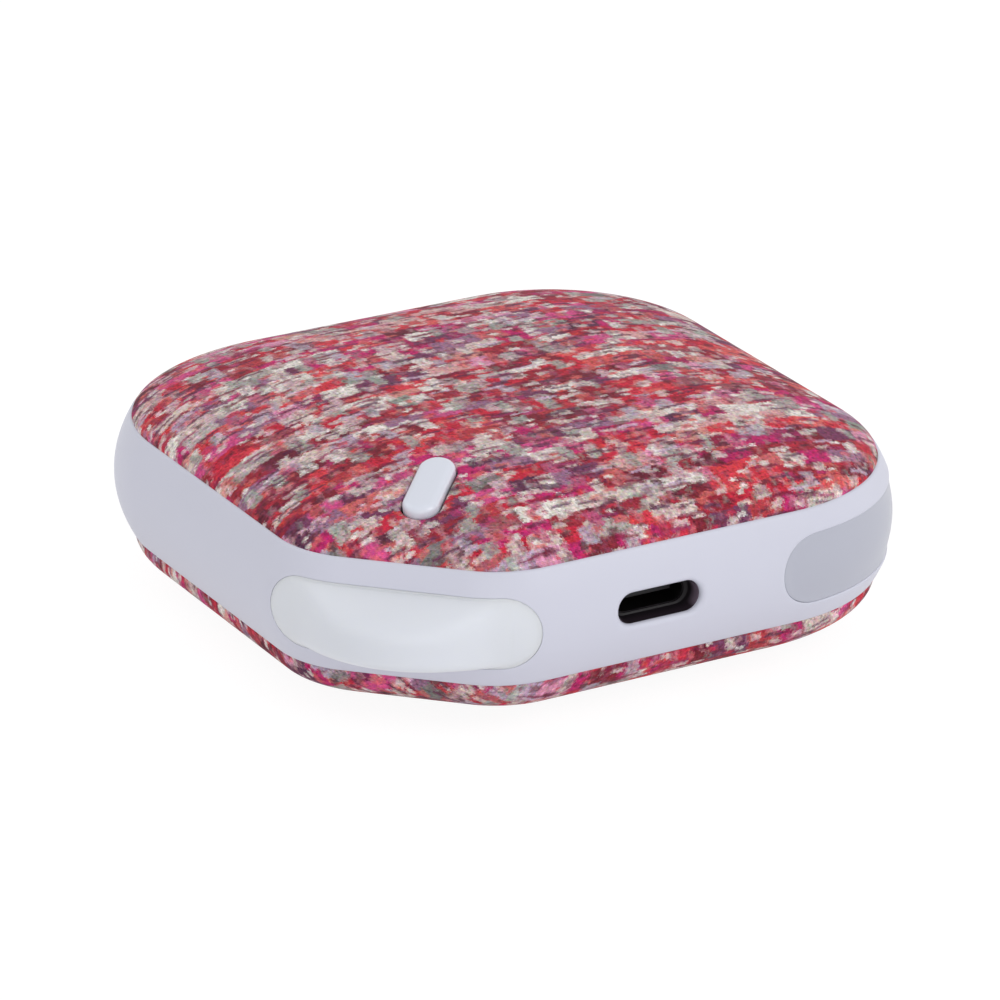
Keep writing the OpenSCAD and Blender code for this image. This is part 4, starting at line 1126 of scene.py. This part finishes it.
def cloth_rings(fullness):
    """Ring sizes for one dome, evenly spaced along the cloth, and how far along each one is."""
    angle = np.linspace(0, np.pi/2, 4000)
    inset = fabric_tuck + (crown_reach - fabric_tuck)*(1 - np.cos(angle)**(2/fullness))
    rise = crown_h*np.sin(angle)**(2/fullness)
    along = np.concatenate([[0], np.cumsum(np.hypot(np.diff(inset), np.diff(rise)))])
    shoulder = np.interp(np.linspace(0, along[-1], 66), along, inset)
    middle = np.linspace(crown_reach, half - 1.2, 12)[1:]
    return np.concatenate([shoulder, middle]), inset, along


def arc_scale(k, inset, along):
    """Scale at which the cloth lay flat before it was stretched over the dome."""
    here = half*(1 - k)
    flat_k = 1 - crown_reach/half
    run = along[-1] - np.interp(here, inset, along)
    return np.where(here >= crown_reach, k, flat_k + run/half)


# The rule of the dome as a node tree: each point of the flat cloth rises with its inset
dome_rule, into, out = node_group("dome_rule", [
    ("Flat cloth", "NodeSocketGeometry", None), ("Border width", "NodeSocketFloat", 0.0224),
    ("Crown height", "NodeSocketFloat", 0.0064), ("Fullness", "NodeSocketFloat", 2.0),
    ("Tuck", "NodeSocketFloat", 0.00015), ("Upwards", "NodeSocketFloat", 1.0),
    ("Cloth", "NodeSocketMaterial", None)], [("Dome", "NodeSocketGeometry")],
    "GeometryNodeTree")
dome_rule.is_modifier = True
inset = put(dome_rule, "GeometryNodeInputNamedAttribute", {"Name": "inset"}, data_type="FLOAT")
across = maths(dome_rule, "SUBTRACT", inset.outputs[0], into.outputs["Tuck"])
width = maths(dome_rule, "SUBTRACT", into.outputs["Border width"], into.outputs["Tuck"])
share = maths(dome_rule, "DIVIDE", across, width, clamp=True)
left_over = maths(dome_rule, "POWER", maths(dome_rule, "SUBTRACT", 1.0, share),
                  into.outputs["Fullness"])
climb = maths(dome_rule, "POWER", maths(dome_rule, "SUBTRACT", 1.0, left_over, clamp=True),
              maths(dome_rule, "DIVIDE", 1.0, into.outputs["Fullness"]))
rise = maths(dome_rule, "MULTIPLY", maths(dome_rule, "MULTIPLY", climb, into.outputs["Upwards"]),
             into.outputs["Crown height"])
lift = put(dome_rule, "ShaderNodeCombineXYZ", {"Z": rise})
moved = put(dome_rule, "GeometryNodeSetPosition", {
    "Geometry": into.outputs["Flat cloth"], "Offset": lift.outputs[0]})
real = put(dome_rule, "GeometryNodeRealizeInstances", {0: moved.outputs[0]})
dressed = put(dome_rule, "GeometryNodeSetMaterial", {
    "Geometry": real.outputs[0], "Material": into.outputs["Cloth"]})
dome_rule.links.new(dressed.outputs[0], out.inputs[0])

# The print is on the cloth's own flat map, in millimetres: the look of a coarse tweed, dyed
# into a fine twill, so its yarns are colours only and the real threads slant across them
tweed, tree, shader = finish_of("tweed_print", Roughness=0.85, Specular_IOR_Level=0.15,
                                Sheen_Weight=0.05, Sheen_Roughness=0.4)


def vector_maths(tree, operation, a, b):
    """Works out one sum of two vectors in a node."""
    return put(tree, "ShaderNodeVectorMath", {0: a, 1: b}, operation=operation).outputs[0]


def wandering(tree, vector, pitch, reach, seed):
    """The map pushed about by smooth noise, as yarn wanders in a weave."""
    shifted = vector_maths(tree, "ADD", vector, (seed, seed*1.7, 0))
    pushed = noise(tree, shifted, 1/pitch, 1.0, flat=True).outputs["Color"]
    push = vector_maths(tree, "SUBTRACT", pushed, (0.5, 0.5, 0.5))
    return vector_maths(tree, "ADD", vector, vector_maths(
        tree, "MULTIPLY", push, (reach, reach, 0)))


def runs_of(tree, value, pitch, seed, uneven=0.7):
    """Cuts a line into runs of about one length: three chances for each run."""
    node = put(tree, "ShaderNodeTexVoronoi", {
        "W": maths(tree, "MULTIPLY_ADD", value, 1/pitch, seed), "Scale": 1.0,
        "Randomness": uneven}, voronoi_dimensions="1D")
    return put(tree, "ShaderNodeSeparateColor", {0: node.outputs["Color"]}).outputs


def yarns(tree, along, over, long, thick, seed):
    """Yarns side by side, each cut into lengths of its own: chances of the yarn and the length."""
    yarn = runs_of(tree, over, thick, seed)
    length = runs_of(tree, along, long, maths(tree, "MULTIPLY", yarn[2], 70.0), 0.9)
    return yarn, length


def above(tree, value, edge, share=1.0, soft=0.01):
    """0 below an edge and a share above it, with a soft step between."""
    node = put(tree, "ShaderNodeMapRange", {
        "Value": value, "From Min": edge - soft, "From Max": edge + soft, "To Max": share},
        clamp=True)
    return node.outputs[0]


def dye(tree, pick, *colours):
    """One of some colours, each with its share, by a chance from 0 to 1."""
    node = put(tree, "ShaderNodeValToRGB", {0: pick})
    node.color_ramp.interpolation = "CONSTANT"
    stops = node.color_ramp.elements
    while len(stops) < len(colours):
        stops.new(1.0)
    total, at = sum(colour[0] for colour in colours), 0.0
    for stop, (share, *colour) in zip(stops, colours):
        stop.position = at/total
        stop.color = rgb(*colour)
        at += share
    return node.outputs[0]


def laid(tree, under, chance, edge, share, pick, *colours):
    """Yarns of some colours, laid over the others where a chance is above an edge."""
    return mix_colours(tree, above(tree, chance, edge, share), under, dye(tree, pick, *colours))


def streaked(tree, vector, long, short):
    """Fine fibres lying one way, from 0 to 1."""
    return noise(tree, vector_maths(tree, "MULTIPLY", vector, (1/long, 1/short, 0)), 1.0, 3.0,
                 0.7, flat=True).outputs[0]


# One look at the yarns: weft lies in rows along X in lengths of six colour families, and warp
# stands across it in tufts, with thin second yarns, flecks and dark dashes among them
look, into, out = node_group("yarn_look", [("Map", "NodeSocketVector", None)], [
    ("Colour", "NodeSocketColor")])
soft = wandering(look, wandering(look, wandering(look, into.outputs["Map"], 0.5, 0.3, 7.9),
                                 0.9, 0.5, 5.7), 4.0, 1.1, 11.0)
weft, warp = put(look, "ShaderNodeSeparateXYZ", {0: soft}).outputs[:2]
row, length = yarns(look, weft, warp, 4.0, 2.15, 3.0)
family = maths(look, "FRACT", maths(look, "MULTIPLY_ADD", length[1], 0.42, row[0]))
yarn_colour, edge = None, 0.0
for share, colours in (
        (0.28, [(3, 190, 56, 72), (2, 206, 72, 82), (1.4, 210, 98, 98), (1.2, 150, 48, 62),
                (1.0, 206, 140, 134)]),
        (0.21, [(3, 126, 46, 58), (2, 152, 54, 66), (1.5, 104, 42, 56), (1.5, 176, 68, 76),
                (0.8, 152, 88, 96)]),
        (0.20, [(2.5, 186, 56, 108), (2, 202, 86, 134), (1.5, 160, 52, 92), (1.2, 214, 146, 174),
                (0.8, 188, 62, 78)]),
        (0.11, [(2, 116, 64, 92), (2, 150, 108, 134), (1.4, 184, 158, 178), (1, 96, 54, 78),
                (1, 152, 58, 96)]),
        (0.14, [(2.6, 224, 216, 210), (2, 214, 194, 188), (1.5, 208, 158, 158),
                (1.0, 188, 174, 174), (1.4, 196, 106, 108)]),
        (0.06, [(1.3, 146, 150, 142), (2, 172, 162, 158), (1.2, 126, 118, 118),
                (1, 204, 196, 188), (1.8, 160, 84, 94)])):
    shown = dye(look, length[0], *colours)
    yarn_colour = shown if yarn_colour is None else mix_colours(
        look, above(look, family, edge, soft=0.004), yarn_colour, shown)
    edge += share
thin = yarns(look, weft, warp, 1.5, 0.72, 70.0)[1]
yarn_colour = laid(look, yarn_colour, thin[0], 0.62, 0.7, thin[1], (1.4, 106, 44, 60),
                   (1, 212, 112, 108), (1.2, 196, 62, 78), (1.2, 220, 206, 202),
                   (1, 176, 64, 108), (1, 142, 146, 138))
column, tuft = yarns(look, warp, weft, 2.3, 1.6, 90.0)
lift = maths(look, "MULTIPLY_ADD", maths(look, "SUBTRACT", column[0], 0.5), 0.3, tuft[0])
lift = maths(look, "MULTIPLY_ADD", maths(look, "SUBTRACT", noise(
    look, into.outputs["Map"], 1/4.0, 2.0, flat=True).outputs[0], 0.5), 0.6, lift)
tuft_colour = dye(look, tuft[1], (2.7, 222, 216, 212), (1.6, 212, 198, 192),
                  (1.2, 200, 172, 178), (1.1, 182, 168, 182), (0.8, 160, 162, 156),
                  (1.0, 168, 148, 152), (1.3, 186, 92, 124), (1.1, 190, 94, 94),
                  (1.0, 142, 66, 82), (0.6, 126, 112, 120))
hair = yarns(look, warp, weft, 1.3, 0.5, 170.0)[1]
tuft_colour = laid(look, tuft_colour, hair[0], 0.62, 0.5, hair[1], (1, 160, 80, 92),
                   (1, 186, 134, 138), (1, 140, 110, 126), (1, 200, 188, 184),
                   (1, 138, 142, 134))
yarn_colour = mix_colours(look, above(look, lift, 0.7, 0.88), yarn_colour, tuft_colour)
yarn_colour = laid(look, yarn_colour, hair[2], 0.76, 0.45, hair[1], (1, 206, 198, 194),
                   (1, 186, 138, 150), (1, 138, 76, 98), (1, 200, 158, 164),
                   (1, 138, 142, 136))
fleck = yarns(look, weft, warp, 0.9, 0.55, 45.0)[1]
yarn_colour = laid(look, yarn_colour, fleck[0], 0.88, 0.8, fleck[1], (1.6, 228, 223, 218),
                   (1, 138, 150, 138), (1.2, 94, 50, 62), (0.8, 204, 76, 74),
                   (0.6, 220, 186, 196))
straighter = put(look, "ShaderNodeSeparateXYZ", {0: wandering(
    look, into.outputs["Map"], 3.0, 0.9, 31.0)}).outputs
dash = yarns(look, straighter[0], straighter[1], 2.8, 0.42, 5.0)[1]
yarn_colour = laid(look, yarn_colour, dash[0], 0.84, 0.8, dash[1], (1.5, 94, 42, 70),
                   (1.2, 94, 58, 82), (1, 122, 40, 66), (1.2, 198, 174, 194),
                   (0.8, 150, 58, 98), (0.6, 216, 208, 204))
look.links.new(yarn_colour, out.inputs[0])

# The twill: at each stitch the dye has run a little, so three looks from beside it are mixed
cloth_map = put(tree, "ShaderNodeUVMap", uv_map="cloth").outputs[0]
flat_x, flat_y = put(tree, "ShaderNodeSeparateXYZ", {0: cloth_map}).outputs[:2]
ridge_pitch, wale_pitch, slant = 0.26, 0.34, 0.6
ridge_phase = maths(tree, "MULTIPLY_ADD", flat_x, slant/ridge_pitch, maths(
    tree, "MULTIPLY", flat_y, 1/ridge_pitch))
wale_phase = maths(tree, "MULTIPLY_ADD", flat_x, 1/wale_pitch, maths(
    tree, "MULTIPLY", flat_y, -slant/wale_pitch))
stitch = put(tree, "ShaderNodeCombineXYZ", {
    0: maths(tree, "FLOOR", ridge_phase), 1: maths(tree, "FLOOR", wale_phase)}).outputs[0]
cloth_colour = None
for number in range(3):
    chance = put(tree, "ShaderNodeTexWhiteNoise", {"Vector": vector_maths(
        tree, "ADD", stitch, (31.0*number, 0, 0))}, noise_dimensions="2D")
    shift = vector_maths(tree, "MULTIPLY", vector_maths(
        tree, "SUBTRACT", chance.outputs["Color"], (0.5, 0.5, 0.5)), (0.5, 0.36, 0))
    seen = put(tree, "ShaderNodeGroup", {"Map": vector_maths(tree, "ADD", cloth_map, shift)},
               node_tree=look).outputs[0]
    cloth_colour = seen if cloth_colour is None else mix_colours(
        tree, 1/(number + 1), cloth_colour, seen)
stitch_chance = put(tree, "ShaderNodeSeparateColor", {0: chance.outputs["Color"]}).outputs
tint = noise(tree, cloth_map, 1/0.4, 1.0, 0.6, flat=True).outputs["Color"]
cloth_colour = mix_colours(tree, 0.3, cloth_colour, tint, "OVERLAY")
fibres = maths(tree, "MULTIPLY", maths(tree, "ADD", streaked(tree, cloth_map, 1.6, 0.22), streaked(
    tree, cloth_map, 0.22, 1.2)), 0.5)
relief = noise(tree, cloth_map, 1/0.9, 3.0, 0.65, flat=True).outputs[0]
# Painted shade: one stitch in ten is darkened, as the shade in a pinhole between stitches
painted_pinhole_shade = above(tree, stitch_chance[1], 0.9, 0.34)
shade = maths(tree, "MULTIPLY", maths(tree, "MULTIPLY_ADD", stitch_chance[2], 0.34, 0.9), maths(
    tree, "MULTIPLY", maths(tree, "MULTIPLY_ADD", relief, 0.8, 0.59), maths(
        tree, "MULTIPLY_ADD", fibres, 1.15, 0.415)))
shade = maths(tree, "MULTIPLY", shade, maths(tree, "SUBTRACT", 1.0, painted_pinhole_shade))
wave = maths(tree, "SINE", maths(tree, "MULTIPLY", ridge_phase, 2*np.pi))
wale = maths(tree, "SINE", maths(tree, "MULTIPLY", wale_phase, 2*np.pi))
weave = maths(tree, "MULTIPLY_ADD", maths(tree, "MULTIPLY", wave, wale), 0.3, maths(
    tree, "MULTIPLY", wave, 0.4))
# Painted light and shade: the colour is lightened and darkened along the twill's ridges and wales,
# as light falls on them; the same ridges also drive the bump
shade = maths(tree, "MULTIPLY", shade, maths(tree, "MULTIPLY_ADD", weave, 0.16, 1.0))
cloth_colour = put(tree, "ShaderNodeHueSaturation", {
    "Value": shade, "Saturation": 1.03, "Color": cloth_colour}).outputs[0]
knit = put(tree, "ShaderNodeBump", {"Strength": 0.35, "Distance": 0.00004, "Height": weave})
feed(tree, shader, Base_Color=cloth_colour, Normal=knit.outputs[0])


def button_opening(edge, hole, fullness, tables):
    """Rings from an edge in the top cloth down into the button's hole, and their places flat."""
    local = (edge - button_origin) @ button_axes.T
    pill = Pill(*hole, np.zeros(2), local[:, :2])
    plans = [(local[:, :2]*(1 - s) + pill.at(0.22)*s, 0.0) for s in (0.2, 0.42, 0.64, 0.84)]
    plans += pill.rounded(0.22, 0.22, 4) + [(pill.at(0), 0.6), (pill.at(0.02), 1.1)]
    rings, flat = [], []
    for plan, depth in plans:
        height = np.zeros(len(plan))
        for _ in range(8):
            there = button_origin + np.column_stack([plan, height]) @ button_axes
            wanted = high_z + dome_height(half*(1 - gauge(there[:, :2])), fullness, fabric_tuck)
            height += (wanted - there[:, 2])/button_axes[2, 2]
        surface = button_origin + np.column_stack([plan, height]) @ button_axes
        k = gauge(surface[:, :2])
        rings.append(surface - depth*button_axes[2])
        flat.append(surface[:, :2]/k[:, None]*arc_scale(k, *tables)[:, None])
    return rings, flat


def stretched_cloth(name, fullness, up, base_z, hole=None):
    """One dome's cloth: a flat cut on the map, raised by the rule and given its thickness."""
    sizes, *tables = cloth_rings(fullness)
    # the first two rings are the edge, turned in and tucked down behind the band's lip
    insets = np.concatenate([[0.42, 0.24], sizes])
    ks = 1 - insets/half
    z0 = np.full(len(insets), base_z)
    z0[:2] -= np.array([0.22, 0.1])*up
    insets[:2] = fabric_tuck
    points = np.vstack([np.hstack([cloth_rim*k, np.full((cloth_columns, 1), z)])
                        for k, z in zip(ks, z0)])
    flat_k = arc_scale(ks, *tables)
    flat_k[:2] = flat_k[2] + np.array([0.3, 0.15])/half
    ring_count = len(ks)
    cloth_grid = np.arange(ring_count*cloth_columns).reshape(ring_count, cloth_columns)
    keep = np.ones((ring_count - 1, cloth_columns), bool)
    faces, extra, extra_uv = [], [], []
    if hole is not None:
        # the block of the grid that the hole takes the place of, on the cut corner
        j0, j1 = flat_start + 2, flat_start + 36
        i0, i1 = (int(np.argmin(np.abs(ks - k))) for k in (0.905, 0.565))
        keep[i0:i1, j0:j1] = False
        loop = np.concatenate([cloth_grid[i0, j0:j1], cloth_grid[i0:i1, j1],
                               cloth_grid[i1, j1:j0:-1], cloth_grid[i1:i0:-1, j0]])
        raised = points.copy()
        raised[:, 2] += up*np.repeat(dome_height(insets, fullness, fabric_tuck), cloth_columns)
        extra, extra_uv = button_opening(raised[loop], hole, fullness, tables)
        faces = walls([loop] + [len(points) + ring for ring in loops_of(extra)])
    faces.extend(sheet_faces(cloth_grid, keep))
    centre = len(points) + sum(len(e) for e in extra)
    last = cloth_grid[-1]
    faces.extend((last[j], last[(j + 1) % cloth_columns], centre) for j in range(cloth_columns))
    if up < 0:
        faces = [tuple(reversed(tuple(f))) for f in faces]
    everything = np.vstack([points, *extra, [[0, 0, base_z]]])
    flat_uv = np.vstack([*(cloth_rim*k for k in flat_k), *extra_uv, [[0, 0]]])
    rule_inset = np.concatenate([np.repeat(insets, cloth_columns),
                                 np.full(centre - len(points), fabric_tuck), [half]])
    obj = piece(name, everything, faces, None, uv_mm=flat_uv, sharp=0)
    layer = obj.data.attributes.new("inset", "FLOAT", "POINT")
    layer.data.foreach_set("value", (rule_inset*0.001).astype(np.float32))
    make_by(dome_rule, obj, {
        "Fullness": fullness, "Upwards": float(up), "Cloth": tweed,
        "Border width": crown_reach*0.001, "Crown height": crown_h*0.001,
        "Tuck": fabric_tuck*0.001})
    thick = obj.modifiers.new("backing", "SOLIDIFY")
    thick.thickness = (fabric_t - 0.08)*0.001
    thick.offset = -1
    return obj


top_cloth = stretched_cloth("top_cloth", top_fullness, 1, high_z, hole=(10.5, 4.4))
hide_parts("top_fabric")
bottom_cloth = stretched_cloth("bottom_cloth", bottom_fullness, -1, low_z)
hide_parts("bottom_fabric")
for cloth, rests in ((top_cloth, "top_cover"), (bottom_cloth, "bottom_cover")):
    uv = np.zeros(len(cloth.data.loops)*2, np.float32)
    cloth.data.uv_layers["cloth"].data.foreach_get("uv", uv)
    uv = uv.reshape(-1, 2)
    size = (uv.max(0) - uv.min(0))*0.001
